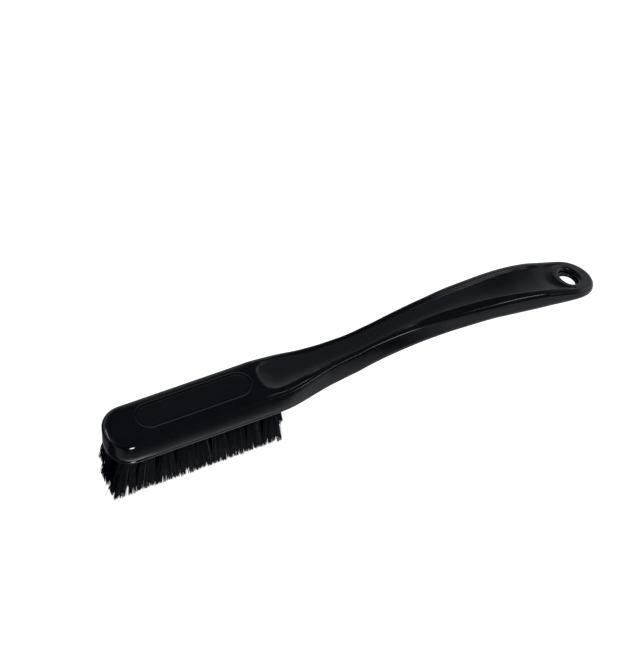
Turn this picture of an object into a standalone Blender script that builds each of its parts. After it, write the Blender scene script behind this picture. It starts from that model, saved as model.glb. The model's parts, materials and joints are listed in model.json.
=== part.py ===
"""Cleaning brush: a one-piece moulded body with bristle tufts held in its block by wire anchors.

The brush lies along X with its round front at -X and its handle running out to +X. It stands
on its bristle tips at z = 0. Sizes are in metres.
"""
import bisect
import math
import random

import bmesh
import bpy
from mathutils import Matrix, Vector

MM = 0.001

# Overall
TOTAL_LENGTH = 250.0 * MM
BRISTLE_LENGTH = 20.5 * MM          # free length under the block

# Block, the part of the body that carries the bristles
BLOCK_WIDTH = 25.7 * MM
BLOCK_HEIGHT = 14.2 * MM
BLOCK_LENGTH = 75.5 * MM            # front to where the handle starts to draw in
BLOCK_EDGE_RADIUS = 3.4 * MM        # round along the top edge
BLOCK_RIM_RADIUS = 0.7 * MM         # round along the lower edge
FRONT_EXPONENT = 2.18               # 2 is a half circle, more is squarer
DRAFT_SHARE = 0.02                  # lean of the side walls, per unit of height

# Parting groove round the block, above its lower edge
GROOVE_HEIGHT = 1.9 * MM
GROOVE_WIDTH = 0.7 * MM
GROOVE_DEPTH = 0.25 * MM

# Name plate on top of the block: a low raised bead round a bare floor
PLATE_FRONT = 16.6 * MM             # front of the block to the plate
PLATE_BACK_GAP = 2.1 * MM           # plate to the end of the block
PLATE_WIDTH = 14.8 * MM
PLATE_BEAD_WIDTH = 1.3 * MM
PLATE_BEAD_HEIGHT = 0.45 * MM
PLATE_FLOOR_DEPTH = 0.25 * MM
PLATE_BEAD_ROUND = 0.3 * MM

# Handle
NECK_WIDTH = 13.5 * MM
NECK_EDGE_RADIUS = 1.4 * MM
GRIP_WIDTH = 24.4 * MM
GRIP_EDGE_RADIUS = 3.6 * MM
HANDLE_UNDER_RADIUS = 4.2 * MM
BOW_RISE = 7.4 * MM                 # highest point of the handle above the block's top
END_DROP = 17.4 * MM                # from there down to the top of the tip
UNDER_RISE = 9.7 * MM               # highest point of the underside above the block's underside
UNDER_DROP = 9.8 * MM               # from there down to the underside of the tip
END_ROUND_LENGTH = 14.5 * MM        # length over which the end is rounded in plan
END_EXPONENT = 2.5
NECK_DIP = 1.2 * MM                 # how far the top sinks at the thumb rest

# Recess along the top of the handle: a thumb rest that runs out into a shallow channel
RECESS_START_GAP = 1.1 * MM         # end of the block to the front of the recess
RECESS_WALL = 0.42 * MM             # height of the wall round its edge
THUMB_LENGTH = 8.0 * MM             # front of the thumb rest to its widest place
THUMB_EXPONENT = 2.5
THUMB_BOWL = 1.5 * MM               # how far the floor sinks below the foot of the wall
CHANNEL_BOWL = 0.65 * MM
RECESS_END_RADIUS = 8.2 * MM        # the channel ends on a circle round the hanging hole
RECESS_END_RUN = 1.2 * MM           # length of the slope up to that circle
CREST_SINK = 1.4 * MM               # how far the edge lies below the top line at the neck
CREST_RISE = 0.35 * MM              # how far it lies above that line at the grip

# Hanging hole through the end of the handle
HOLE_DIAMETER = 9.0 * MM
HOLE_MOUTH_RADIUS = 2.2 * MM        # round of both its edges
HOLE_TO_TIP = 13.4 * MM             # middle of the hole to the tip of the handle

# Bristle tufts: three rows, the middle one set half a pitch forward
TUFT_HOLE_DIAMETER = 5.2 * MM
TUFT_HOLE_DEPTH = 8.0 * MM
TUFT_SIDE_GAP = 5.25 * MM           # side of the block to the middle of an outer hole
TUFT_FIRST = 5.2 * MM               # front of the block to the first hole of the middle row
TUFT_LAST = 6.2 * MM                # end of the block to the last one, which is past it
OUTER_ROW_COUNT = 9
MIDDLE_ROW_COUNT = 10
STRANDS_PER_TUFT = 16
STRAND_SIDES = 3
STRAND_ROOT_RADIUS = 0.32 * MM
STRAND_TIP_RADIUS = 0.42 * MM
STRAND_ROOT_MARGIN = 0.45 * MM      # edge of the tuft to the middle of its outer strands
TUFT_TIP_RADIUS = 3.4 * MM          # how far a tuft has opened at its tips
TIP_UNEVENNESS = 1.0 * MM
FLAT_CUT = 0.5 * MM                 # tips are trimmed flat this deep
FRONT_SIDE_LEAN = 1.8 * MM          # how far the outer rows lean out at their tips, in front
BACK_SIDE_LEAN = 0.4 * MM           # the same at the back
FORWARD_LEAN = 3.3 * MM             # how far the foremost tufts lean forwards
BACKWARD_LEAN = 1.5 * MM            # how far the last ones lean back
FORWARD_LEAN_PITCHES = 2.5          # over how many tufts the forward lean dies out
BRISTLE_SEED = 7                    # for the unevenness of the strands

# Wire anchors, one across the fold of each tuft
ANCHOR_THICKNESS = 0.5 * MM
ANCHOR_HEIGHT = 1.8 * MM
ANCHOR_BITE = 0.45 * MM             # how far each end goes into the wall of the hole
ANCHOR_CORNER = 0.12 * MM
FOLD_THICKNESS = 1.2 * MM           # bristle between the anchor and the hole's floor
ANCHOR_TURN = math.radians(35.0)

# Clearance between neighbouring pieces, and how far a cutter runs past what it cuts
CLEARANCE = 0.3 * MM
OVERRUN = 1.0 * MM

# Shares along the handle, from 0 at the end of the block to 1 at the tip
TOP_RISE_SHARES = ((0.0, 0.0), (0.17, 0.03), (0.26, 0.13), (0.33, 0.43), (0.414, 0.755),
                   (0.494, 0.93), (0.575, 1.0), (1.0, 1.0))
TOP_DROP_SHARES = ((0.0, 0.0), (0.575, 0.0), (0.655, 0.02), (0.736, 0.09), (0.816, 0.255),
                   (0.885, 0.51), (0.943, 0.745), (1.0, 1.0))
UNDER_RISE_SHARES = ((0.0, 0.0), (0.15, 0.0), (0.264, 0.03), (0.333, 0.225), (0.414, 0.50),
                     (0.494, 0.77), (0.575, 0.96), (0.655, 1.0), (1.0, 1.0))
UNDER_DROP_SHARES = ((0.0, 0.0), (0.655, 0.0), (0.736, 0.135), (0.816, 0.34), (0.885, 0.55),
                     (0.943, 0.69), (1.0, 1.0))
DIP_SHARES = ((0.0, 0.0), (0.07, 0.9), (0.12, 1.0), (0.18, 0.45), (0.25, 0.0), (1.0, 0.0))
BLOCK_WIDTH_SHARES = ((0.0, 1.0), (0.03, 0.99), (0.062, 0.945), (0.095, 0.80), (0.13, 0.57),
                      (0.164, 0.36), (0.20, 0.19), (0.264, 0.05), (0.333, 0.0), (1.0, 0.0))
GRIP_WIDTH_SHARES = ((0.0, 0.0), (0.333, 0.0), (0.414, 0.10), (0.494, 0.32), (0.575, 0.61),
                     (0.655, 0.80), (0.736, 0.94), (0.816, 1.0), (0.885, 0.93), (1.0, 0.70))
EDGE_TO_NECK_SHARES = ((0.0, 0.0), (0.05, 0.03), (0.13, 0.5), (0.20, 0.92), (0.26, 1.0), (1.0, 1.0))
EDGE_TO_GRIP_SHARES = ((0.0, 0.0), (0.42, 0.0), (0.53, 0.5), (0.655, 1.0), (1.0, 1.0))
UNDER_ROUND_SHARES = ((0.0, 0.0), (0.12, 0.0), (0.20, 0.2), (0.32, 0.8), (0.42, 1.0), (1.0, 1.0))
GROOVE_FADE_SHARES = ((0.0, 1.0), (0.05, 1.0), (0.12, 0.0), (1.0, 0.0))
RECESS_WIDTH_SHARES = ((0.0, 0.97), (0.052, 0.97), (0.089, 0.925), (0.129, 0.86), (0.18, 0.79),
                       (0.25, 0.86), (0.32, 0.88), (0.38, 0.79), (0.42, 0.735), (0.484, 0.727),
                       (0.553, 0.756), (0.622, 0.82), (0.691, 0.88), (0.759, 0.955),
                       (0.81, 0.985), (1.0, 0.985))
BOWL_SHARES = ((0.0, 1.0), (0.07, 1.0), (0.13, 0.45), (0.19, 0.1), (0.25, 0.0), (1.0, 0.0))
CREST_SINK_SHARES = ((0.0, 0.0), (0.10, 0.0), (0.18, 0.5), (0.25, 0.8), (0.32, 1.0), (0.38, 0.85),
                     (0.42, 0.5), (0.484, 0.0), (1.0, 0.0))
CREST_RISE_SHARES = ((0.0, 0.0), (0.484, 0.0), (0.553, 1.0), (0.69, 1.0), (0.76, 0.3), (0.81, 0.0),
                     (1.0, 0.0))

# Where the mesh of the body is laid out, as shares of the stretch that each list covers
FRONT_STATION_COUNT = 11
BLOCK_STATION_SHARES = (0.33, 0.66)
HANDLE_STATION_SHARES = (0.0, 0.0063, 0.0075, 0.010, 0.015, 0.022, 0.033, 0.046, 0.058, 0.075,
                         0.095, 0.115, 0.135, 0.16, 0.185, 0.215, 0.25, 0.285, 0.32, 0.36, 0.40,
                         0.445, 0.49, 0.535, 0.58, 0.625, 0.67, 0.715, 0.76, 0.80, 0.835, 0.857,
                         0.866, 0.875, 0.885, 0.895, 0.905)
END_STATION_COUNT = 11
ROUND_STEPS = 4
CAP_SHARES = (1.0, 0.92, 0.70, 0.46, 0.23)
MAX_ROUND_SHARE = 0.8               # of the thickness, for the two edge rounds together
PLAIN_CAP_SHARE = 0.6               # where the first column lies outside the recess

# How finely round things are drawn
PLATE_STEPS = 10
HOLE_ROUND_STEPS = 3
HOLE_SIDES = 28
TUFT_HOLE_SIDES = 14
TUFT_SIDES = 12
SHARP_ANGLE = math.radians(32.0)
MERGE_DISTANCE = 0.01 * MM

# Places worked out from the sizes above
HALF_LENGTH = TOTAL_LENGTH / 2
UNDERSIDE_Z = BRISTLE_LENGTH
BLOCK_TOP_Z = UNDERSIDE_Z + BLOCK_HEIGHT
HANDLE_LENGTH = TOTAL_LENGTH - BLOCK_LENGTH
FRONT_ROUND = BLOCK_WIDTH / 2
PLATE_LENGTH = BLOCK_LENGTH - PLATE_FRONT - PLATE_BACK_GAP
RECESS_START = BLOCK_LENGTH + RECESS_START_GAP
HOLE_PLACE = TOTAL_LENGTH - HOLE_TO_TIP
TUFT_PITCH = (BLOCK_LENGTH + TUFT_LAST - TUFT_FIRST) / (MIDDLE_ROW_COUNT - 1)
TUFT_ROW_SPACING = BLOCK_WIDTH / 2 - TUFT_SIDE_GAP
TUFT_RADIUS = TUFT_HOLE_DIAMETER / 2 - CLEARANCE
TUFT_TOP_Z = UNDERSIDE_Z + TUFT_HOLE_DEPTH - CLEARANCE
ANCHOR_LENGTH = TUFT_HOLE_DIAMETER + 2 * ANCHOR_BITE
ANCHOR_Z = TUFT_TOP_Z - FOLD_THICKNESS - CLEARANCE - ANCHOR_HEIGHT / 2


def clear_scene():
    """Remove every object that the file opened with."""
    for thing in list(bpy.data.objects):
        bpy.data.objects.remove(thing, do_unlink=True)


def make_material(name, colour, roughness, metallic=0.0):
    """A plain Principled material."""
    material = bpy.data.materials.new(name)
    material.use_nodes = True
    shader = material.node_tree.nodes["Principled BSDF"]
    shader.inputs["Base Color"].default_value = (*colour, 1.0)
    shader.inputs["Roughness"].default_value = roughness
    shader.inputs["Metallic"].default_value = metallic
    return material


def smooth(table, at):
    """Value of a table of (place, value) pairs at a place, on a curve that never overshoots."""
    places = [place for place, _ in table]
    values = [value for _, value in table]
    if at <= places[0]:
        return values[0]
    if at >= places[-1]:
        return values[-1]
    rises = [(values[i + 1] - values[i]) / (places[i + 1] - places[i])
             for i in range(len(places) - 1)]
    slopes = [rises[0]] + [0.0] * (len(rises) - 1) + [rises[-1]]
    for i in range(1, len(rises)):
        if rises[i - 1] * rises[i] > 0:
            slopes[i] = 2 * rises[i - 1] * rises[i] / (rises[i - 1] + rises[i])
    i = bisect.bisect_right(places, at) - 1
    span = places[i + 1] - places[i]
    t = (at - places[i]) / span
    return (values[i] * (2 * t ** 3 - 3 * t ** 2 + 1)
            + slopes[i] * span * (t ** 3 - 2 * t ** 2 + t)
            + values[i + 1] * (3 * t ** 2 - 2 * t ** 3)
            + slopes[i + 1] * span * (t ** 3 - t ** 2))


def handle_share(along):
    """How far a place lies along the handle; along is measured from the front of the block."""
    return max(0.0, (along - BLOCK_LENGTH) / HANDLE_LENGTH)


def top_z(along):
    """Height of the body's top line."""
    share = handle_share(along)
    return (BLOCK_TOP_Z + BOW_RISE * smooth(TOP_RISE_SHARES, share)
            - END_DROP * smooth(TOP_DROP_SHARES, share) - NECK_DIP * smooth(DIP_SHARES, share))


def under_z(along):
    """Height of the body's underside."""
    share = handle_share(along)
    return (UNDERSIDE_Z + UNDER_RISE * smooth(UNDER_RISE_SHARES, share)
            - UNDER_DROP * smooth(UNDER_DROP_SHARES, share))


def half_width(along):
    """Half the body's width in plan."""
    if along < FRONT_ROUND:
        reach = 1 - along / FRONT_ROUND
        return BLOCK_WIDTH / 2 * (1 - reach ** FRONT_EXPONENT) ** (1 / FRONT_EXPONENT)
    share = handle_share(along)
    width = (NECK_WIDTH + (BLOCK_WIDTH - NECK_WIDTH) * smooth(BLOCK_WIDTH_SHARES, share)
             + (GRIP_WIDTH - NECK_WIDTH) * smooth(GRIP_WIDTH_SHARES, share))
    end = max(0.0, 1 - (TOTAL_LENGTH - along) / END_ROUND_LENGTH)
    return width / 2 * math.sqrt(max(0.0, 1 - end ** END_EXPONENT))


def edge_rounds(along):
    """Radii of the body's upper and lower edge rounds."""
    share = handle_share(along)
    upper = (BLOCK_EDGE_RADIUS
             + (NECK_EDGE_RADIUS - BLOCK_EDGE_RADIUS) * smooth(EDGE_TO_NECK_SHARES, share)
             + (GRIP_EDGE_RADIUS - NECK_EDGE_RADIUS) * smooth(EDGE_TO_GRIP_SHARES, share))
    lower = (BLOCK_RIM_RADIUS
             + (HANDLE_UNDER_RADIUS - BLOCK_RIM_RADIUS) * smooth(UNDER_ROUND_SHARES, share))
    room = MAX_ROUND_SHARE * (top_z(along) - under_z(along))
    scale = min(1.0, room / (upper + lower))
    return upper * scale, lower * scale


def body_stations():
    """Places along the body where its mesh has a line, close together where it curves."""
    front = [FRONT_ROUND * (1 - math.cos(math.pi / 2 * i / FRONT_STATION_COUNT))
             for i in range(1, FRONT_STATION_COUNT + 1)]
    block = [FRONT_ROUND + (BLOCK_LENGTH - FRONT_ROUND) * share for share in BLOCK_STATION_SHARES]
    handle = [BLOCK_LENGTH + HANDLE_LENGTH * share for share in HANDLE_STATION_SHARES]
    end_start = handle[-1]
    end = [end_start + (TOTAL_LENGTH - end_start) * math.sin(math.pi / 2 * i / END_STATION_COUNT)
           for i in range(1, END_STATION_COUNT)]
    return front + block + handle + end


def plan_outline(stations):
    """Plan points from the front to the tip on the +Y side, each with its outward normal."""
    points = [(0.0, 0.0)] + [(x, half_width(x)) for x in stations] + [(TOTAL_LENGTH, 0.0)]
    outline = []
    for i, point in enumerate(points):
        if i == 0:
            normal = (-1.0, 0.0)
        elif i == len(points) - 1:
            normal = (1.0, 0.0)
        else:
            run = points[i + 1][0] - points[i - 1][0]
            rise = points[i + 1][1] - points[i - 1][1]
            length = math.hypot(run, rise)
            normal = (-rise / length, run / length)
        outline.append((point, normal))
    return outline


def recess_half_width(along, edge_y):
    """Half the width of the recess, zero where there is none; edge_y is the flat top's edge."""
    if along <= RECESS_START or along >= HOLE_PLACE:
        return 0.0
    front = max(0.0, 1 - (along - RECESS_START) / THUMB_LENGTH)
    return (edge_y * smooth(RECESS_WIDTH_SHARES, handle_share(along))
            * (1 - front ** THUMB_EXPONENT) ** (1 / THUMB_EXPONENT))


def recess_depth(along, across, across_share):
    """Depth of the recess at a place; across_share is 0 in the middle and 1 at its edge."""
    if across_share >= 1:
        return 0.0
    bowl_share = smooth(BOWL_SHARES, handle_share(along))
    bowl = CHANNEL_BOWL + (THUMB_BOWL - CHANNEL_BOWL) * bowl_share
    front = max(0.0, 1 - (along - RECESS_START) / THUMB_LENGTH)
    depth = RECESS_WALL + bowl * (1 - front ** 2) * (1 - across_share ** 2)
    from_hole = math.hypot(along - HOLE_PLACE, across) - RECESS_END_RADIUS
    return depth * min(1.0, max(0.0, from_hole / RECESS_END_RUN))


def crest_height(along):
    """Height of the recess's edge above the top line."""
    share = handle_share(along)
    return (CREST_RISE * smooth(CREST_RISE_SHARES, share)
            - CREST_SINK * smooth(CREST_SINK_SHARES, share))


def side_levels(along):
    """The inset and height of each level of the side wall, from the underside up to the top."""
    upper, lower = edge_rounds(along)
    low, high = under_z(along), top_z(along)
    wall = (high - upper) - (low + lower)
    block_wall = BLOCK_HEIGHT - BLOCK_EDGE_RADIUS - BLOCK_RIM_RADIUS
    levels = []
    for step in range(ROUND_STEPS + 1):
        turn = math.pi / 2 * step / ROUND_STEPS
        levels.append((lower * (1 - math.sin(turn)), lower * (1 - math.cos(turn)), None))
    fade = smooth(GROOVE_FADE_SHARES, handle_share(along))
    for offset, depth in ((-GROOVE_WIDTH / 2, 0.0), (0.0, GROOVE_DEPTH * fade),
                          (GROOVE_WIDTH / 2, 0.0)):
        share = (GROOVE_HEIGHT - BLOCK_RIM_RADIUS + offset) / block_wall
        levels.append((depth, lower + wall * share, None))
    for step in range(ROUND_STEPS + 1):
        turn = math.pi / 2 * step / ROUND_STEPS
        levels.append((upper * (1 - math.cos(turn)), None, upper * (1 - math.sin(turn))))
    return levels


def skin_point(point, normal, level):
    """A point of the side wall: its place in plan moved inwards, and its height."""
    inset, above, below = level
    low = under_z(point[0])
    lean = DRAFT_SHARE * (above if above is not None else top_z(point[0]) - low - below)
    x = point[0] - normal[0] * (inset + lean)
    y = point[1] - normal[1] * (inset + lean)
    z = under_z(x) + above if above is not None else top_z(x) - below
    return x, y, z


def cap_columns(x, edge_y):
    """Half of the top's lines across the body at one station, from the edge to the middle."""
    recess = recess_half_width(x, edge_y)
    columns = []
    for share in (*CAP_SHARES, 0.0):
        if recess > 0:
            depth = recess_depth(x, recess * share, share) - crest_height(x)
            columns.append((recess * share, depth))
        else:
            columns.append((edge_y * PLAIN_CAP_SHARE * share, 0.0))
    return columns


def body_mesh():
    """The whole moulding's skin, without holes: levels of one outline under a ruled top."""
    outline = plan_outline(body_stations())
    mesh = bmesh.new()
    rows = []
    for point, normal in outline:
        levels = side_levels(point[0])
        on_axis = point[1] == 0.0
        side = [skin_point(point, normal, level) for level in levels]
        left = [mesh.verts.new((x - HALF_LENGTH, 0.0 if on_axis else y, z)) for x, y, z in side]
        if on_axis:
            rows.append((left, left, None))
            continue
        right = [mesh.verts.new((x - HALF_LENGTH, -y, z)) for x, y, z in side]
        x, edge_y, z = side[-1]
        columns = cap_columns(x, edge_y)
        cap = [left[-1]]
        cap += [mesh.verts.new((x - HALF_LENGTH, y, z - depth)) for y, depth in columns]
        cap += [mesh.verts.new((x - HALF_LENGTH, -y, z - depth))
                for y, depth in reversed(columns[:-1])]
        cap.append(right[-1])
        rows.append((left, right, cap))
    for (left, right, cap), (next_left, next_right, next_cap) in zip(rows, rows[1:]):
        for level in range(len(left) - 1):
            for near, far, flip in ((left, next_left, False), (right, next_right, True)):
                add_face(mesh, (near[level], far[level], far[level + 1], near[level + 1]), flip)
        add_face(mesh, (left[0], right[0], next_right[0], next_left[0]), False)
        if cap is None:
            for i in range(len(next_cap) - 1):
                add_face(mesh, (left[-1], next_cap[i], next_cap[i + 1]), False)
        elif next_cap is None:
            for i in range(len(cap) - 1):
                add_face(mesh, (cap[i], next_left[-1], cap[i + 1]), False)
        else:
            for i in range(len(cap) - 1):
                add_face(mesh, (cap[i], next_cap[i], next_cap[i + 1], cap[i + 1]), False)
    bmesh.ops.remove_doubles(mesh, verts=mesh.verts, dist=MERGE_DISTANCE)
    bmesh.ops.recalc_face_normals(mesh, faces=mesh.faces)
    return mesh


def add_face(mesh, corners, flip):
    """Add a face from its corners, leaving out any that repeat."""
    kept = []
    for corner in corners:
        if corner not in kept:
            kept.append(corner)
    if len(kept) < 3:
        return
    mesh.faces.new(reversed(kept) if flip else kept)


def finish(mesh, name, material=None, guide=False):
    """Turn a bmesh into an object, shaded smooth but for its sharp edges."""
    data = bpy.data.meshes.new(name)
    mesh.to_mesh(data)
    mesh.free()
    thing = bpy.data.objects.new(name, data)
    bpy.context.scene.collection.objects.link(thing)
    if material is not None:
        data.materials.append(material)
        data.shade_smooth()
        data.set_sharp_from_angle(angle=SHARP_ANGLE)
    if guide:
        thing.hide_render = True
        thing.display_type = "WIRE"
    return thing


def cut(thing, cutter, operation="DIFFERENCE"):
    """Add a Boolean with another object."""
    modifier = thing.modifiers.new(cutter.name, "BOOLEAN")
    modifier.operation = operation
    modifier.object = cutter
    modifier.solver = "EXACT"


def stadium(length, width, steps):
    """Points of a straight-sided outline with half-round ends, centred on the origin."""
    radius = width / 2
    straight = length / 2 - radius
    points = []
    for side in (1, -1):
        for i in range(steps + 1):
            turn = math.pi * (i / steps - 0.5)
            points.append((side * (straight + radius * math.cos(turn)),
                           side * radius * math.sin(turn)))
    return points


def stadium_prism(name, length, width, bottom, top, edge_round=0.0):
    """A guide: an upright prism on a stadium, whose top edge may be chamfered."""
    mesh = bmesh.new()
    middle = PLATE_FRONT + PLATE_LENGTH / 2 - HALF_LENGTH
    levels = [(0.0, bottom), (0.0, top - edge_round), (edge_round, top)]
    if edge_round == 0.0:
        levels = levels[:1] + levels[2:]
    rings = []
    for inset, z in levels:
        ring = [mesh.verts.new((x + middle, y, z))
                for x, y in stadium(length - 2 * inset, width - 2 * inset, PLATE_STEPS)]
        rings.append(ring)
    for low, high in zip(rings, rings[1:]):
        for i in range(len(low)):
            j = (i + 1) % len(low)
            mesh.faces.new((low[i], low[j], high[j], high[i]))
    mesh.faces.new(reversed(rings[0]))
    mesh.faces.new(rings[-1])
    bmesh.ops.recalc_face_normals(mesh, faces=mesh.faces)
    return finish(mesh, name, guide=True)


def hanging_hole():
    """A guide: the turned shape of the hanging hole, narrow in the middle, round at both mouths."""
    step = HOLE_MOUTH_RADIUS
    slope = math.atan2(top_z(HOLE_PLACE + step) - top_z(HOLE_PLACE - step), 2 * step)
    top, under = top_z(HOLE_PLACE), under_z(HOLE_PLACE)
    thickness = (top - under) * math.cos(slope)
    middle = Vector((HOLE_PLACE - HALF_LENGTH, 0.0, (top + under) / 2))
    bore = HOLE_DIAMETER / 2
    profile = []
    for i in range(HOLE_ROUND_STEPS + 1):
        turn = math.pi / 2 * i / HOLE_ROUND_STEPS
        profile.append((bore + HOLE_MOUTH_RADIUS * (1 - math.cos(turn)),
                        thickness / 2 - HOLE_MOUTH_RADIUS * (1 - math.sin(turn))))
    profile.append((profile[-1][0] + OVERRUN / 2, thickness / 2 + OVERRUN))
    profile = [(radius, -height) for radius, height in reversed(profile)] + profile
    mesh = bmesh.new()
    rings = []
    for radius, height in profile:
        ring = []
        for i in range(HOLE_SIDES):
            turn = 2 * math.pi * i / HOLE_SIDES
            ring.append(mesh.verts.new((radius * math.cos(turn), radius * math.sin(turn), height)))
        rings.append(ring)
    for low, high in zip(rings, rings[1:]):
        for i in range(HOLE_SIDES):
            j = (i + 1) % HOLE_SIDES
            mesh.faces.new((low[i], low[j], high[j], high[i]))
    mesh.faces.new(reversed(rings[0]))
    mesh.faces.new(rings[-1])
    bmesh.ops.recalc_face_normals(mesh, faces=mesh.faces)
    hole = finish(mesh, "hanging_hole_cutter", guide=True)
    hole.matrix_world = Matrix.Translation(middle) @ Matrix.Rotation(-slope, 4, "Y")
    return hole


def tuft_places():
    """Centre of each tuft in plan with its row's name, from the front to the handle."""
    places = []
    for row, side in (("left", 1), ("right", -1)):
        for i in range(OUTER_ROW_COUNT):
            x = TUFT_FIRST + TUFT_PITCH * (i + 0.5)
            places.append((row, i + 1, Vector((x - HALF_LENGTH, side * TUFT_ROW_SPACING, 0.0))))
    for i in range(MIDDLE_ROW_COUNT):
        x = TUFT_FIRST + TUFT_PITCH * i
        places.append(("middle", i + 1, Vector((x - HALF_LENGTH, 0.0, 0.0))))
    return places


def box_mesh(size, centre, turn=0.0):
    """A box as a bmesh, turned about Z."""
    mesh = bmesh.new()
    matrix = Matrix.Translation(centre) @ Matrix.Rotation(turn, 4, "Z") @ Matrix.Diagonal((*size, 1.0))
    bmesh.ops.create_cube(mesh, size=1.0, matrix=matrix)
    return mesh


def drum_mesh(radius, bottom, top, sides):
    """An upright cylinder as a bmesh, centred on the Z axis."""
    mesh = bmesh.new()
    bmesh.ops.create_cone(mesh, cap_ends=True, segments=sides, radius1=radius, radius2=radius,
                          depth=top - bottom, matrix=Matrix.Translation((0.0, 0.0, (top + bottom) / 2)))
    return mesh


def tuft_hole_cutters():
    """A guide: all the blind holes, each with the notches that its anchor bites."""
    hole = finish(drum_mesh(TUFT_HOLE_DIAMETER / 2, UNDERSIDE_Z - OVERRUN,
                            UNDERSIDE_Z + TUFT_HOLE_DEPTH, TUFT_HOLE_SIDES), "one_hole", guide=True)
    notch_size = (ANCHOR_LENGTH + 2 * CLEARANCE, ANCHOR_THICKNESS + 2 * CLEARANCE,
                  ANCHOR_HEIGHT + 2 * CLEARANCE)
    notch = finish(box_mesh(notch_size, (0.0, 0.0, ANCHOR_Z), ANCHOR_TURN), "one_notch", guide=True)
    cut(hole, notch, "UNION")
    shape = evaluated_mesh(hole)
    mesh = bmesh.new()
    for _, _, place in tuft_places():
        copy = shape.copy()
        copy.transform(Matrix.Translation(place))
        mesh.from_mesh(copy)
    bpy.data.objects.remove(hole)
    bpy.data.objects.remove(notch)
    return finish(mesh, "tuft_hole_cutters", guide=True)


def evaluated_mesh(thing):
    """A copy of an object's mesh with its modifiers applied."""
    bpy.context.view_layer.update()
    return bpy.data.meshes.new_from_object(thing.evaluated_get(bpy.context.evaluated_depsgraph_get()))


def brush_body(material):
    """Block and handle in one moulding, with its plate, recess, hanging hole and tuft holes."""
    body = finish(body_mesh(), "brush_body", material)
    bead = stadium_prism("plate_bead", PLATE_LENGTH, PLATE_WIDTH, BLOCK_TOP_Z - PLATE_FLOOR_DEPTH,
                         BLOCK_TOP_Z + PLATE_BEAD_HEIGHT, PLATE_BEAD_ROUND)
    floor = stadium_prism("plate_floor_cutter", PLATE_LENGTH - 2 * PLATE_BEAD_WIDTH,
                          PLATE_WIDTH - 2 * PLATE_BEAD_WIDTH, BLOCK_TOP_Z - PLATE_FLOOR_DEPTH,
                          BLOCK_TOP_Z + OVERRUN)
    cut(body, bead, "UNION")
    cut(body, floor)
    cut(body, hanging_hole())
    cut(body, tuft_hole_cutters())
    return body


def strand_roots():
    """Places of the strands in a tuft, spread evenly over its round face."""
    reach = TUFT_RADIUS - STRAND_ROOT_MARGIN
    roots = []
    for i in range(STRANDS_PER_TUFT):
        radius = reach * math.sqrt((i + 0.5) / (STRANDS_PER_TUFT - 0.5))
        turn = i * math.pi * (3 - math.sqrt(5))
        roots.append(Vector((radius * math.cos(turn), radius * math.sin(turn), 0.0)))
    return roots, reach


def outward_lean(place):
    """How far a tuft leans at its tips: outwards in the outer rows and at both ends."""
    from_first = (place.x + HALF_LENGTH - TUFT_FIRST) / TUFT_PITCH
    from_last = MIDDLE_ROW_COUNT - 1 - from_first
    front = max(0.0, 1 - from_first / FORWARD_LEAN_PITCHES)
    back = max(0.0, 1 - from_last)
    side = place.y / TUFT_ROW_SPACING
    side_lean = (FRONT_SIDE_LEAN * from_last + BACK_SIDE_LEAN * from_first) / (MIDDLE_ROW_COUNT - 1)
    return Vector((BACKWARD_LEAN * back - FORWARD_LEAN * front, side_lean * side, 0.0))


def strands_mesh(place, chance):
    """All the strands of one tuft: straight, thin and three-sided, opening towards their tips."""
    roots, reach = strand_roots()
    mesh = bmesh.new()
    lean = outward_lean(place)
    root_z = UNDERSIDE_Z + STRAND_ROOT_MARGIN
    for root in roots:
        tip = root * (TUFT_TIP_RADIUS / reach) + lean
        tip_z = max(0.0, chance.uniform(-FLAT_CUT, TIP_UNEVENNESS))
        turn = chance.uniform(0.0, 2 * math.pi)
        rings = []
        for centre, radius, z in ((root, STRAND_ROOT_RADIUS, root_z), (tip, STRAND_TIP_RADIUS, tip_z)):
            ring = []
            for i in range(STRAND_SIDES):
                angle = turn + 2 * math.pi * i / STRAND_SIDES
                ring.append(mesh.verts.new((place.x + centre.x + radius * math.cos(angle),
                                            place.y + centre.y + radius * math.sin(angle), z)))
            rings.append(ring)
        for i in range(STRAND_SIDES):
            j = (i + 1) % STRAND_SIDES
            mesh.faces.new((rings[0][i], rings[1][i], rings[1][j], rings[0][j]))
        mesh.faces.new(rings[0])
        mesh.faces.new(reversed(rings[1]))
    bmesh.ops.recalc_face_normals(mesh, faces=mesh.faces)
    return mesh


def bristle_tuft(name, place, material, chance):
    """One tuft: the folded bundle that fills its hole, with a slot for the anchor, and its strands."""
    bundle = drum_mesh(TUFT_RADIUS, UNDERSIDE_Z, TUFT_TOP_Z, TUFT_SIDES)
    bmesh.ops.translate(bundle, verts=bundle.verts, vec=place)
    tuft = finish(bundle, name, material)
    slot_size = (ANCHOR_LENGTH + 2 * OVERRUN, ANCHOR_THICKNESS + 2 * CLEARANCE,
                 ANCHOR_HEIGHT + 2 * CLEARANCE)
    slot = finish(box_mesh(slot_size, place + Vector((0.0, 0.0, ANCHOR_Z)), ANCHOR_TURN),
                  name + "_slot_cutter", guide=True)
    strands = finish(strands_mesh(place, chance), name + "_strands", guide=True)
    cut(tuft, slot)
    cut(tuft, strands, "UNION")
    return tuft


def wire_anchor(name, place, material):
    """The flat piece of wire that holds a tuft's fold in its hole."""
    mesh = box_mesh((ANCHOR_LENGTH, ANCHOR_THICKNESS, ANCHOR_HEIGHT), (0.0, 0.0, 0.0))
    bmesh.ops.bevel(mesh, geom=list(mesh.edges), offset=ANCHOR_CORNER, segments=1,
                    affect="EDGES", profile=0.5)
    anchor = finish(mesh, name, material)
    anchor.location = place + Vector((0.0, 0.0, ANCHOR_Z))
    anchor.rotation_euler = (0.0, 0.0, ANCHOR_TURN)
    return anchor


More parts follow.
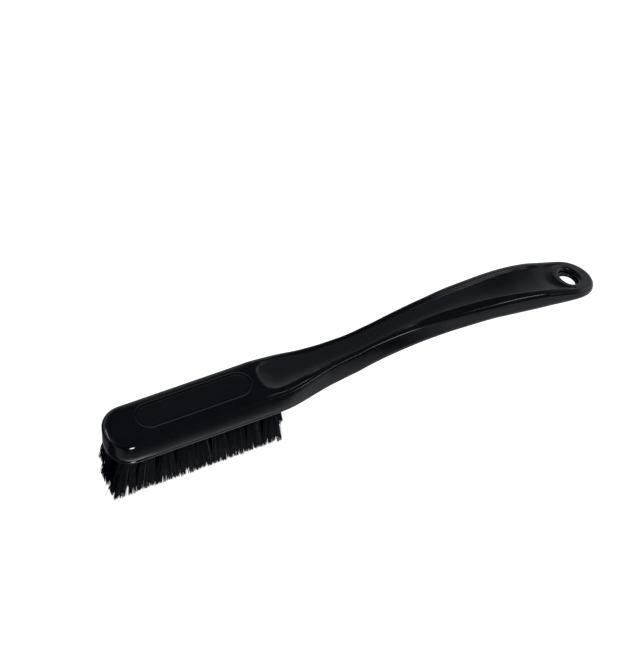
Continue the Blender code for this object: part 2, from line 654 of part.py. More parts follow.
def build():
    """Make the brush."""
    clear_scene()
    plastic = make_material("gloss_black_plastic", (0.006, 0.006, 0.007), 0.16)
    bristle = make_material("black_bristle", (0.010, 0.010, 0.011), 0.45)
    wire = make_material("tinned_wire", (0.62, 0.62, 0.60), 0.30, 1.0)
    brush_body(plastic)
    chance = random.Random(BRISTLE_SEED)
    for row, number, place in tuft_places():
        label = f"{row}_{number:02d}"
        bristle_tuft(f"bristle_tuft_{label}", place, bristle, chance)
        wire_anchor(f"tuft_anchor_{label}", place, wire)
    bpy.context.view_layer.update()


build()
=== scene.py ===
"""Looks of a cleaning brush: gloss moulded body, ragged bristle tufts, wire anchors, studio.

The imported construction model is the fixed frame. Lengths of the brush's own pieces are in
millimetres, and places along it start at its round front; MM turns them into the frame's metres.
The studio's lengths are in metres.
"""
import json
import logging
import math
import random
from dataclasses import dataclass, field
from enum import Enum
from typing import Callable, Iterable, Sequence, Union

import bmesh
import bpy
import numpy as np
from mathutils import Matrix, Vector

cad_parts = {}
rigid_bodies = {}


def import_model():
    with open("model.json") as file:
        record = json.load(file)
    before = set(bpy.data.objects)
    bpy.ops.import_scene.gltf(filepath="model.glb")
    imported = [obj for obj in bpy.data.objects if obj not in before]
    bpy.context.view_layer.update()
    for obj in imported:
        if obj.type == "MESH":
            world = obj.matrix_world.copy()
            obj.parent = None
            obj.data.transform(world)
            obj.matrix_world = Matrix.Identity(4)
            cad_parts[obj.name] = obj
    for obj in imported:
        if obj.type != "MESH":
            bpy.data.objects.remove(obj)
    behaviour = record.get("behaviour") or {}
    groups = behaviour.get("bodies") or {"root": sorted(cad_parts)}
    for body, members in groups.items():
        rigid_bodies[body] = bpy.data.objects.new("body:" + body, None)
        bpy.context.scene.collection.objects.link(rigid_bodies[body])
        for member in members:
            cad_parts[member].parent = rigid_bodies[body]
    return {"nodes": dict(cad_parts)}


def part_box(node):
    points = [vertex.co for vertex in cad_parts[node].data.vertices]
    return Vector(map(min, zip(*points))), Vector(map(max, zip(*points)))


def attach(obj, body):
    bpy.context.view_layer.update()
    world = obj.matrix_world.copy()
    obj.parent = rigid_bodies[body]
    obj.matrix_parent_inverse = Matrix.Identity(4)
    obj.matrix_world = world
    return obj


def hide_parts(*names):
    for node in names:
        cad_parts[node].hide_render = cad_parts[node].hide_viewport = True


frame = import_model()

LOG = logging.getLogger("cleaning_brush")
MM = 0.001
BODY_NODE = "brush_body"
TUFT_PREFIX = "bristle_tuft_"
ANCHOR_PREFIX = "tuft_anchor_"
STRAND_TONE = "strand_tone"
DULL = "dull"
Table = Sequence[tuple[float, float]]
Pair = tuple[float, float]
Colour = tuple[float, float, float]
Socket = bpy.types.NodeSocket
Source = Union[Socket, float, Sequence[float]]


class Slot(Enum):
    """The finishes that the record names."""

    PLASTIC = "moulded_body"
    BRISTLE = "bristle"
    WIRE = "anchor_wire"


class Row(Enum):
    """The three rows of tufts, by the side they lie on."""

    LEFT = 1.0
    MIDDLE = 0.0
    RIGHT = -1.0


def smooth(table: Table, at: np.ndarray | float) -> np.ndarray:
    """Read a table on a curve that never overshoots its points.

    Args:
        table: (place, value) pairs in rising order of place.
        at: where to read it.

    Returns:
        The values there, as an array.
    """
    places = np.array([place for place, _ in table])
    values = np.array([value for _, value in table])
    rises = np.diff(values) / np.diff(places)
    slopes = np.zeros(len(places))
    slopes[0], slopes[-1] = rises[0], rises[-1]
    before, after = rises[:-1], rises[1:]
    alike = before * after > 0
    total = np.where(alike, before + after, 1.0)
    slopes[1:-1] = np.where(alike, 2 * before * after / total, 0.0)
    spot = np.clip(np.asarray(at, float), places[0], places[-1])
    i = np.clip(np.searchsorted(places, spot, side="right") - 1, 0, len(rises) - 1)
    span = places[i + 1] - places[i]
    t = (spot - places[i]) / span
    return (values[i] * (2 * t ** 3 - 3 * t ** 2 + 1) + slopes[i] * span * (t ** 3 - 2 * t ** 2 + t)
            + values[i + 1] * (3 * t ** 2 - 2 * t ** 3) + slopes[i + 1] * span * (t ** 3 - t ** 2))


def ease(at: np.ndarray | float) -> np.ndarray:
    """Rise from 0 to 1 with level ends."""
    t = np.clip(np.asarray(at, float), 0.0, 1.0)
    return t * t * (3 - 2 * t)


def on_square(radius: float, turn: float) -> tuple[float, float]:
    """Place on a square for a place on a disc, keeping equal areas equal; both reach from -1 to 1."""
    quarter = round(turn / (math.pi / 2))
    along = radius
    across = radius * (turn - quarter * math.pi / 2) / (math.pi / 4)
    for _ in range(quarter % 4):
        along, across = -across, along
    return along, across


def deselect_all() -> None:
    """Leave nothing selected, so that an operator acts on the new piece alone."""
    if bpy.context.object is not None and bpy.context.object.mode != "OBJECT":
        bpy.ops.object.mode_set(mode="OBJECT")
    bpy.ops.object.select_all(action="DESELECT")


def make_active(piece: bpy.types.Object) -> None:
    """Select one piece alone and make it the active one."""
    deselect_all()
    piece.select_set(True)
    bpy.context.view_layer.objects.active = piece


def apply_modifier(piece: bpy.types.Object, kind: str, name: str, **settings: object) -> None:
    """Add a modifier with its settings and apply it.

    Args:
        piece: the object it changes.
        kind: Blender's name of the modifier.
        name: what this step is called.
        settings: the modifier's own settings.
    """
    make_active(piece)
    modifier = piece.modifiers.new(name, kind)
    for setting, value in settings.items():
        setattr(modifier, setting, value)
    bpy.ops.object.modifier_apply(modifier=name)


def edit_selected(piece: bpy.types.Object, faces: Callable[[bmesh.types.BMFace], bool]) -> int:
    """Enter edit mode on a piece with the chosen faces selected.

    Args:
        piece: the object to edit.
        faces: says whether a face is chosen, by its place or normal.

    Returns:
        How many faces are selected.
    """
    make_active(piece)
    bpy.ops.object.mode_set(mode="EDIT")
    bpy.ops.mesh.select_mode(type="FACE")
    bpy.ops.mesh.select_all(action="DESELECT")
    mesh = bmesh.from_edit_mesh(piece.data)
    count = 0
    for face in mesh.faces:
        if faces(face):
            face.select_set(True)
            count += 1
    bmesh.update_edit_mesh(piece.data)
    return count


@dataclass
class BodyForm:
    """Sizes of the moulded body and the curves that its surface follows, in millimetres."""

    # From the construction model
    length: float
    block_width: float
    underside: float

    # Block
    block_height: float = 14.2
    block_length: float = 75.5
    block_edge_round: float = 3.4
    block_rim_round: float = 0.7
    front_exponent: float = 2.18
    draft_share: float = 0.02
    rounds_room: float = 0.8
    groove_height: float = 1.9
    groove_width: float = 0.8
    groove_depth: float = 0.3

    # The block's top falls a little towards its long edges
    crown_start: float = 7.6
    crown_drop: float = 0.27
    crown_tilt: float = math.radians(12.0)
    crown_fades: Table = ((0.0, 0.0), (8.0, 0.0), (18.0, 1.0), (66.0, 1.0), (80.0, 0.0), (250.0, 0.0))

    # Handle
    neck_width: float = 13.5
    neck_edge_round: float = 1.4
    grip_width: float = 24.4
    grip_edge_round: float = 3.6
    handle_under_round: float = 4.2
    bow_rise: float = 7.4
    end_drop: float = 17.4
    under_rise: float = 9.7
    under_drop: float = 9.8
    end_round_length: float = 14.5
    end_exponent: float = 2.5
    neck_dip: float = 1.2

    # Recess along the top: thumb rest, then a shallow channel that ends round the hanging hole
    thumb_front: float = 76.6
    thumb_length: float = 8.0
    thumb_exponent: float = 2.5
    thumb_bowl: float = 1.5
    channel_bowl: float = 0.65
    wall_depth: float = 0.6
    wall_width: float = 1.05
    crest_round: float = 0.14
    crest_sink: float = 1.4
    crest_rise: float = 0.35
    channel_end_radius: float = 7.2
    end_wall_share: float = 0.3
    end_wall_length: float = 5.0
    corner_blend: float = 0.8

    # Hanging hole
    hole_to_tip: float = 13.4
    hole_radius: float = 4.5
    hole_mouth_round: float = 2.2

    # Lines of the skin: how many round each end, where their spacing changes, and the spacings
    round_lines: int = 27
    recess_lines_before: float = 1.0
    recess_lines_behind: float = 2.0
    grip_lines_from: float = 112.0
    end_lines_from: float = 218.0
    hole_lines_before: float = 4.5
    tip_lines_length: float = 9.0
    line_steps: Sequence[float] = (1.3, 0.16, 0.32, 0.7, 1.15, 0.5, 0.42)

    # Tables of shares along the handle, from 0 at the block's end to 1 at the tip
    top_rise_shares: Table = ((0.0, 0.0), (0.17, 0.03), (0.26, 0.13), (0.33, 0.43), (0.414, 0.755),
                              (0.494, 0.93), (0.575, 1.0), (1.0, 1.0))
    top_drop_shares: Table = ((0.0, 0.0), (0.575, 0.0), (0.655, 0.02), (0.736, 0.09),
                              (0.816, 0.255), (0.885, 0.51), (0.943, 0.745), (1.0, 1.0))
    under_rise_shares: Table = ((0.0, 0.0), (0.15, 0.0), (0.264, 0.03), (0.333, 0.225),
                                (0.414, 0.50), (0.494, 0.77), (0.575, 0.96), (0.655, 1.0), (1.0, 1.0))
    under_drop_shares: Table = ((0.0, 0.0), (0.655, 0.0), (0.736, 0.135), (0.816, 0.34),
                                (0.885, 0.55), (0.943, 0.69), (1.0, 1.0))
    dip_shares: Table = ((0.0, 0.0), (0.07, 0.9), (0.12, 1.0), (0.18, 0.45), (0.25, 0.0), (1.0, 0.0))
    block_width_shares: Table = ((0.0, 1.0), (0.03, 0.99), (0.062, 0.945), (0.095, 0.80),
                                 (0.13, 0.57), (0.164, 0.36), (0.20, 0.19), (0.264, 0.05),
                                 (0.333, 0.0), (1.0, 0.0))
    grip_width_shares: Table = ((0.0, 0.0), (0.333, 0.0), (0.414, 0.10), (0.494, 0.32),
                                (0.575, 0.61), (0.655, 0.80), (0.736, 0.94), (0.816, 1.0),
                                (0.885, 0.93), (1.0, 0.70))
    edge_to_neck_shares: Table = ((0.0, 0.0), (0.05, 0.03), (0.13, 0.5), (0.20, 0.92), (0.26, 1.0),
                                  (1.0, 1.0))
    edge_to_grip_shares: Table = ((0.0, 0.0), (0.42, 0.0), (0.53, 0.5), (0.655, 1.0), (1.0, 1.0))
    under_round_shares: Table = ((0.0, 0.0), (0.12, 0.0), (0.20, 0.2), (0.32, 0.8), (0.42, 1.0),
                                 (1.0, 1.0))
    groove_fades: Table = ((0.0, 1.0), (10.0, 1.0), (22.0, 0.12), (75.0, 0.12), (95.0, 0.0),
                           (250.0, 0.0))
    recess_width_shares: Table = ((0.0, 0.97), (0.052, 0.97), (0.089, 0.925), (0.129, 0.86),
                                  (0.18, 0.79), (0.25, 0.86), (0.32, 0.88), (0.38, 0.79),
                                  (0.42, 0.735), (0.484, 0.727), (0.553, 0.756), (0.622, 0.82),
                                  (0.691, 0.88), (0.759, 0.955), (0.81, 0.985), (1.0, 0.985))
    bowl_shares: Table = ((0.0, 1.0), (0.07, 1.0), (0.13, 0.45), (0.19, 0.1), (0.25, 0.0), (1.0, 0.0))
    crest_sink_shares: Table = ((0.0, 0.0), (0.10, 0.0), (0.18, 0.5), (0.25, 0.8), (0.32, 1.0),
                                (0.38, 0.85), (0.42, 0.5), (0.484, 0.0), (1.0, 0.0))
    crest_rise_shares: Table = ((0.0, 0.0), (0.484, 0.0), (0.553, 1.0), (0.69, 1.0), (0.76, 0.3),
                                (0.81, 0.0), (1.0, 0.0))

    @property
    def top(self) -> float:
        """Height of the block's flat top."""
        return self.underside + self.block_height

    @property
    def hole_at(self) -> float:
        """Place of the hanging hole's middle along the brush."""
        return self.length - self.hole_to_tip

    def share(self, along: np.ndarray | float) -> np.ndarray:
        """How far a place lies along the handle, from 0 at the block's end to 1 at the tip."""
        return np.clip((np.asarray(along, float) - self.block_length)
                       / (self.length - self.block_length), 0.0, 1.0)

    def top_z(self, along: np.ndarray | float) -> np.ndarray:
        """Height of the top line."""
        share = self.share(along)
        return (self.top + self.bow_rise * smooth(self.top_rise_shares, share)
                - self.end_drop * smooth(self.top_drop_shares, share)
                - self.neck_dip * smooth(self.dip_shares, share))

    def under_z(self, along: np.ndarray | float) -> np.ndarray:
        """Height of the underside."""
        share = self.share(along)
        return (self.underside + self.under_rise * smooth(self.under_rise_shares, share)
                - self.under_drop * smooth(self.under_drop_shares, share))

    def half_width(self, along: np.ndarray) -> np.ndarray:
        """Half the width in plan, with the round front and the rounded tip."""
        nose = self.block_width / 2
        reach = np.clip(1 - along / nose, 0.0, 1.0)
        front = nose * (1 - reach ** self.front_exponent) ** (1 / self.front_exponent)
        share = self.share(along)
        width = (self.neck_width
                 + (self.block_width - self.neck_width) * smooth(self.block_width_shares, share)
                 + (self.grip_width - self.neck_width) * smooth(self.grip_width_shares, share))
        end = np.clip(1 - (self.length - along) / self.end_round_length, 0.0, 1.0)
        rear = width / 2 * np.sqrt(1 - end ** self.end_exponent)
        return np.where(along < nose, front, rear)

    def edge_rounds(self, along: np.ndarray) -> tuple[np.ndarray, np.ndarray]:
        """Radii of the upper and the lower edge round."""
        share = self.share(along)
        upper = (self.block_edge_round
                 + (self.neck_edge_round - self.block_edge_round)
                 * smooth(self.edge_to_neck_shares, share)
                 + (self.grip_edge_round - self.neck_edge_round)
                 * smooth(self.edge_to_grip_shares, share))
        lower = (self.block_rim_round
                 + (self.handle_under_round - self.block_rim_round)
                 * smooth(self.under_round_shares, share))
        room = self.rounds_room * (self.top_z(along) - self.under_z(along))
        scale = np.minimum(1.0, room / (upper + lower))
        return upper * scale, lower * scale

    def crest_height(self, along: np.ndarray) -> np.ndarray:
        """Height of the recess's edge above the top line."""
        share = self.share(along)
        return (self.crest_rise * smooth(self.crest_rise_shares, share)
                - self.crest_sink * smooth(self.crest_sink_shares, share))

    def recess_depth(self, along: np.ndarray, across: np.ndarray, half: np.ndarray) -> np.ndarray:
        """Depth of the recess below its edge.

        Args:
            along: places along the brush.
            across: distances from its middle plane.
            half: half the width of the recess at those places, as if it had no rounded ends.

        Returns:
            The depth at each place, zero outside the recess.
        """
        side = np.abs(across)
        half = np.maximum(half, 1e-3)
        ahead = np.clip(self.thumb_front + self.thumb_length - along, 0.0, None) / self.thumb_length
        wide = side / half
        power = self.thumb_exponent
        reach = np.maximum((ahead ** power + wide ** power) ** (1 / power), 1e-6)
        steep = np.hypot(reach ** (1 - power) * ahead ** (power - 1) / self.thumb_length,
                         reach ** (1 - power) * wide ** (power - 1) / half)
        inside = (1 - reach) / np.maximum(steep, 1e-3)
        inside = np.where(ahead > 0, np.clip(inside, -9.0, half), half - side)
        from_hole = np.hypot(along - self.hole_at, across) - self.channel_end_radius
        low_wall = (self.end_wall_share
                    + (1 - self.end_wall_share) * ease(from_hole / self.end_wall_length))
        from_hole = np.where(along > self.hole_at, -9.0, from_hole)
        gap = np.clip(1 - np.abs(inside - from_hole) / self.corner_blend, 0.0, 1.0)
        inside = np.minimum(inside, from_hole) - self.corner_blend * gap * gap / 4
        wall = self.wall_depth * low_wall * ease((inside + self.crest_round)
                                                 / (self.wall_width + self.crest_round))
        bowl_share = smooth(self.bowl_shares, self.share(along))
        depth = self.channel_bowl + (self.thumb_bowl - self.channel_bowl) * bowl_share
        run = np.clip(inside / half, 0.0, 1.0)
        return wall + depth * (1 - (1 - run) ** 2)

    def stations(self) -> np.ndarray:
        """Places along the body where its skin has a line, close together at its features."""
        nose = self.block_width / 2
        turn = np.linspace(0.0, math.pi / 2, self.round_lines)
        front = nose * (1 - np.cos(turn))
        bounds = (nose, self.thumb_front - self.recess_lines_before,
                  self.thumb_front + self.recess_lines_behind,
                  self.thumb_front + self.thumb_length, self.grip_lines_from,
                  self.end_lines_from, self.hole_at - self.hole_lines_before,
                  self.length - self.tip_lines_length)
        parts = [front[:-1]]
        for low, high, step in zip(bounds, bounds[1:], self.line_steps):
            parts.append(np.linspace(low, high, max(2, round((high - low) / step)), endpoint=False))
        parts.append(bounds[-1] + (self.length - bounds[-1]) * np.sin(turn))
        return np.concatenate(parts)


def plug(tree: bpy.types.NodeTree, socket: Socket, source: Source) -> None:
    """Link a socket to another node's output, or set its own value."""
    if isinstance(source, bpy.types.NodeSocket):
        tree.links.new(source, socket)
    else:
        socket.default_value = source


def reckon(tree: bpy.types.NodeTree, operation: str, *sources: Source) -> Socket:
    """Add a Math node.

    Args:
        tree: the nodes it joins.
        operation: Blender's name of the sum.
        sources: its inputs in order.

    Returns:
        Its output.
    """
    node = tree.nodes.new("ShaderNodeMath")
    node.operation = operation
    for socket, source in zip(node.inputs, sources):
        plug(tree, socket, source)
    return node.outputs[0]


def reckon_vector(tree: bpy.types.NodeTree, operation: str, *sources: Source) -> Socket:
    """Add a Vector Math node, and give its number where the sum makes one, else its vector."""
    node = tree.nodes.new("ShaderNodeVectorMath")
    node.operation = operation
    for socket, source in zip(node.inputs, sources):
        plug(tree, socket, source)
    return node.outputs["Value" if operation in ("LENGTH", "DISTANCE") else "Vector"]


def remap(tree: bpy.types.NodeTree, source: Source, before: Pair = (0.0, 1.0),
          after: Pair = (0.0, 1.0), soft: bool = False) -> Socket:
    """Add a Map Range node.

    Args:
        tree: the nodes it joins.
        source: the value to map.
        before: where the value's range starts and ends.
        after: what these become.
        soft: whether the ends ease in.

    Returns:
        Its output.
    """
    node = tree.nodes.new("ShaderNodeMapRange")
    node.interpolation_type = "SMOOTHSTEP" if soft else "LINEAR"
    plug(tree, node.inputs["Value"], source)
    for name, value in zip(("From Min", "From Max", "To Min", "To Max"), (*before, *after)):
        node.inputs[name].default_value = value
    return node.outputs["Result"]


def mix(tree: bpy.types.NodeTree, kind: str, share: Source, low: Source, high: Source) -> Socket:
    """Add a Mix node.

    Args:
        tree: the nodes it joins.
        kind: RGBA for colours, FLOAT for numbers.
        share: how far it goes from the one to the other.
        low: what it gives at 0; a colour has its three parts.
        high: what it gives at 1.

    Returns:
        Its output.
    """
    node = tree.nodes.new("ShaderNodeMix")
    node.data_type = kind
    plug(tree, node.inputs["Factor"], share)
    for name, source in (("A", low), ("B", high)):
        plug(tree, node.inputs[name], (*source, 1.0) if isinstance(source, tuple) else source)
    return node.outputs["Result"]


def split_place(tree: bpy.types.NodeTree, output: str) -> tuple[Socket, Socket, Socket, Socket]:
    """Add the texture coordinates.

    Args:
        tree: the nodes they join.
        output: which of them, such as Object.

    Returns:
        The place, and its X, Y and Z.
    """
    place = tree.nodes.new("ShaderNodeTexCoord").outputs[output]
    split = tree.nodes.new("ShaderNodeSeparateXYZ")
    tree.links.new(place, split.inputs[0])
    return place, split.outputs["X"], split.outputs["Y"], split.outputs["Z"]


def read_attribute(tree: bpy.types.NodeTree, name: str) -> Socket:
    """Read one of the piece's own attributes."""
    node = tree.nodes.new("ShaderNodeAttribute")
    node.attribute_name = name
    return node.outputs["Fac"]


def new_material(name: str) -> bpy.types.Material:
    """Make an empty material that uses nodes."""
    material = bpy.data.materials.new(name)
    material.use_nodes = True
    return material


@dataclass(frozen=True)
class RubbedSurface:
    """The shared node group of a handled surface: a broad mask, Rubbed, and a fine height, Grain."""

    name: str = "rubbed_surface"
    broad_detail: float = 4.0
    broad_roughness: float = 0.6
    fine_detail: float = 2.0
    fine_scale: float = 28.0
    mask_range: Pair = (0.35, 0.72)

    def group(self) -> bpy.types.ShaderNodeTree:
        """Build the group, or find it where it is built already.

        Returns:
            A group that takes a place and a scale.
        """
        if self.name in bpy.data.node_groups:
            return bpy.data.node_groups[self.name]
        group = bpy.data.node_groups.new(self.name, "ShaderNodeTree")
        for socket, way, kind in (("Place", "INPUT", "Vector"), ("Scale", "INPUT", "Float"),
                                  ("Rubbed", "OUTPUT", "Float"), ("Grain", "OUTPUT", "Float")):
            group.interface.new_socket(socket, in_out=way, socket_type="NodeSocket" + kind)
        given = group.nodes.new("NodeGroupInput").outputs
        result = group.nodes.new("NodeGroupOutput").inputs
        broad = group.nodes.new("ShaderNodeTexNoise")
        fine = group.nodes.new("ShaderNodeTexNoise")
        for noise, settings in (
                (broad, {"Vector": given["Place"], "Scale": given["Scale"],
                         "Detail": self.broad_detail, "Roughness": self.broad_roughness}),
                (fine, {"Vector": given["Place"], "Detail": self.fine_detail,
                        "Scale": reckon(group, "MULTIPLY", given["Scale"], self.fine_scale)})):
            for socket, source in settings.items():
                plug(group, noise.inputs[socket], source)
        plug(group, result["Rubbed"], remap(group, broad.outputs["Fac"], self.mask_range))
        plug(group, result["Grain"], fine.outputs["Fac"])
        return group

    def placed(self, tree: bpy.types.NodeTree, scale: float) -> tuple[Socket, Socket]:
        """Place the group in a material.

        Args:
            tree: the material's nodes.
            scale: how fine it is on this piece.

        Returns:
            The broad mask and the fine height.
        """
        place = tree.nodes.new("ShaderNodeTexCoord")
        wear = tree.nodes.new("ShaderNodeGroup")
        wear.node_tree = self.group()
        wear.inputs["Scale"].default_value = scale
        tree.links.new(place.outputs["Object"], wear.inputs["Place"])
        return wear.outputs["Rubbed"], wear.outputs["Grain"]


@dataclass(frozen=True)
class PlasticFinish:
    """Gloss black moulded plastic, a little softer in gloss where hands and tools have rubbed it."""

    colour: Colour = (0.0014, 0.0017, 0.0036)
    rubbed_gain: float = 1.5
    tint: Colour = (0.88, 0.93, 1.0)
    rough: float = 0.08
    rough_spread: float = 0.07
    ior: float = 1.47
    dull: Colour = (0.0068, 0.0078, 0.0102)
    dull_rough: float = 0.12
    wear_scale: float = 90.0
    bump_strength: float = 0.35
    bump_height: float = 0.00002

    def material(self) -> bpy.types.Material:
        """Build the material."""
        material = new_material("gloss_black_plastic")
        tree = material.node_tree
        shader = tree.nodes["Principled BSDF"].inputs
        shader["IOR"].default_value = self.ior
        shader["Specular Tint"].default_value = (*self.tint, 1.0)
        rubbed, grain = RubbedSurface().placed(tree, self.wear_scale)
        dullness = read_attribute(tree, DULL)
        rough = remap(tree, rubbed, after=(self.rough, self.rough + self.rough_spread))
        plug(tree, shader["Roughness"],
             reckon(tree, "MULTIPLY_ADD", dullness, self.dull_rough, rough))
        lighter = tuple(self.rubbed_gain * part for part in self.colour)
        glossy = mix(tree, "RGBA", rubbed, self.colour, lighter)
        plug(tree, shader["Base Color"], mix(tree, "RGBA", dullness, glossy, self.dull))
        bump = tree.nodes.new("ShaderNodeBump")
        bump.inputs["Strength"].default_value = self.bump_strength
        bump.inputs["Distance"].default_value = self.bump_height
        plug(tree, bump.inputs["Height"], grain)
        plug(tree, shader["Normal"], bump.outputs["Normal"])
        return material


@dataclass(frozen=True)
class BristleFinish:
    """Black bristle, uneven in tone from strand to strand."""

    dark: Colour = (0.0012, 0.0019, 0.0050)
    light: Colour = (0.045, 0.047, 0.054)
    specular: float = 0.07
    rough: float = 0.4
    rough_spread: float = 0.2
    wear_scale: float = 900.0

    def material(self) -> bpy.types.Material:
        """Build the material."""
        material = new_material("black_bristle")
        tree = material.node_tree
        shader = tree.nodes["Principled BSDF"].inputs
        shader["Specular IOR Level"].default_value = self.specular
        _, grain = RubbedSurface().placed(tree, self.wear_scale)
        tone = read_attribute(tree, STRAND_TONE)
        plug(tree, shader["Base Color"], mix(tree, "RGBA", tone, self.dark, self.light))
        plug(tree, shader["Roughness"],
             remap(tree, grain, after=(self.rough, self.rough + self.rough_spread)))
        return material


@dataclass(frozen=True)
class WireFinish:
    """Drawn tinned wire of the anchors inside the holes."""

    bright: Colour = (0.66, 0.66, 0.64)
    dull: Colour = (0.38, 0.37, 0.35)
    rough_range: Pair = (0.25, 0.5)
    wear_scale: float = 1500.0

    def material(self) -> bpy.types.Material:
        """Build the material."""
        material = new_material("tinned_wire")
        tree = material.node_tree
        shader = tree.nodes["Principled BSDF"].inputs
        shader["Metallic"].default_value = 1.0
        rubbed, grain = RubbedSurface().placed(tree, self.wear_scale)
        plug(tree, shader["Base Color"], mix(tree, "RGBA", rubbed, self.bright, self.dull))
        plug(tree, shader["Roughness"], remap(tree, grain, after=self.rough_range))
        return material


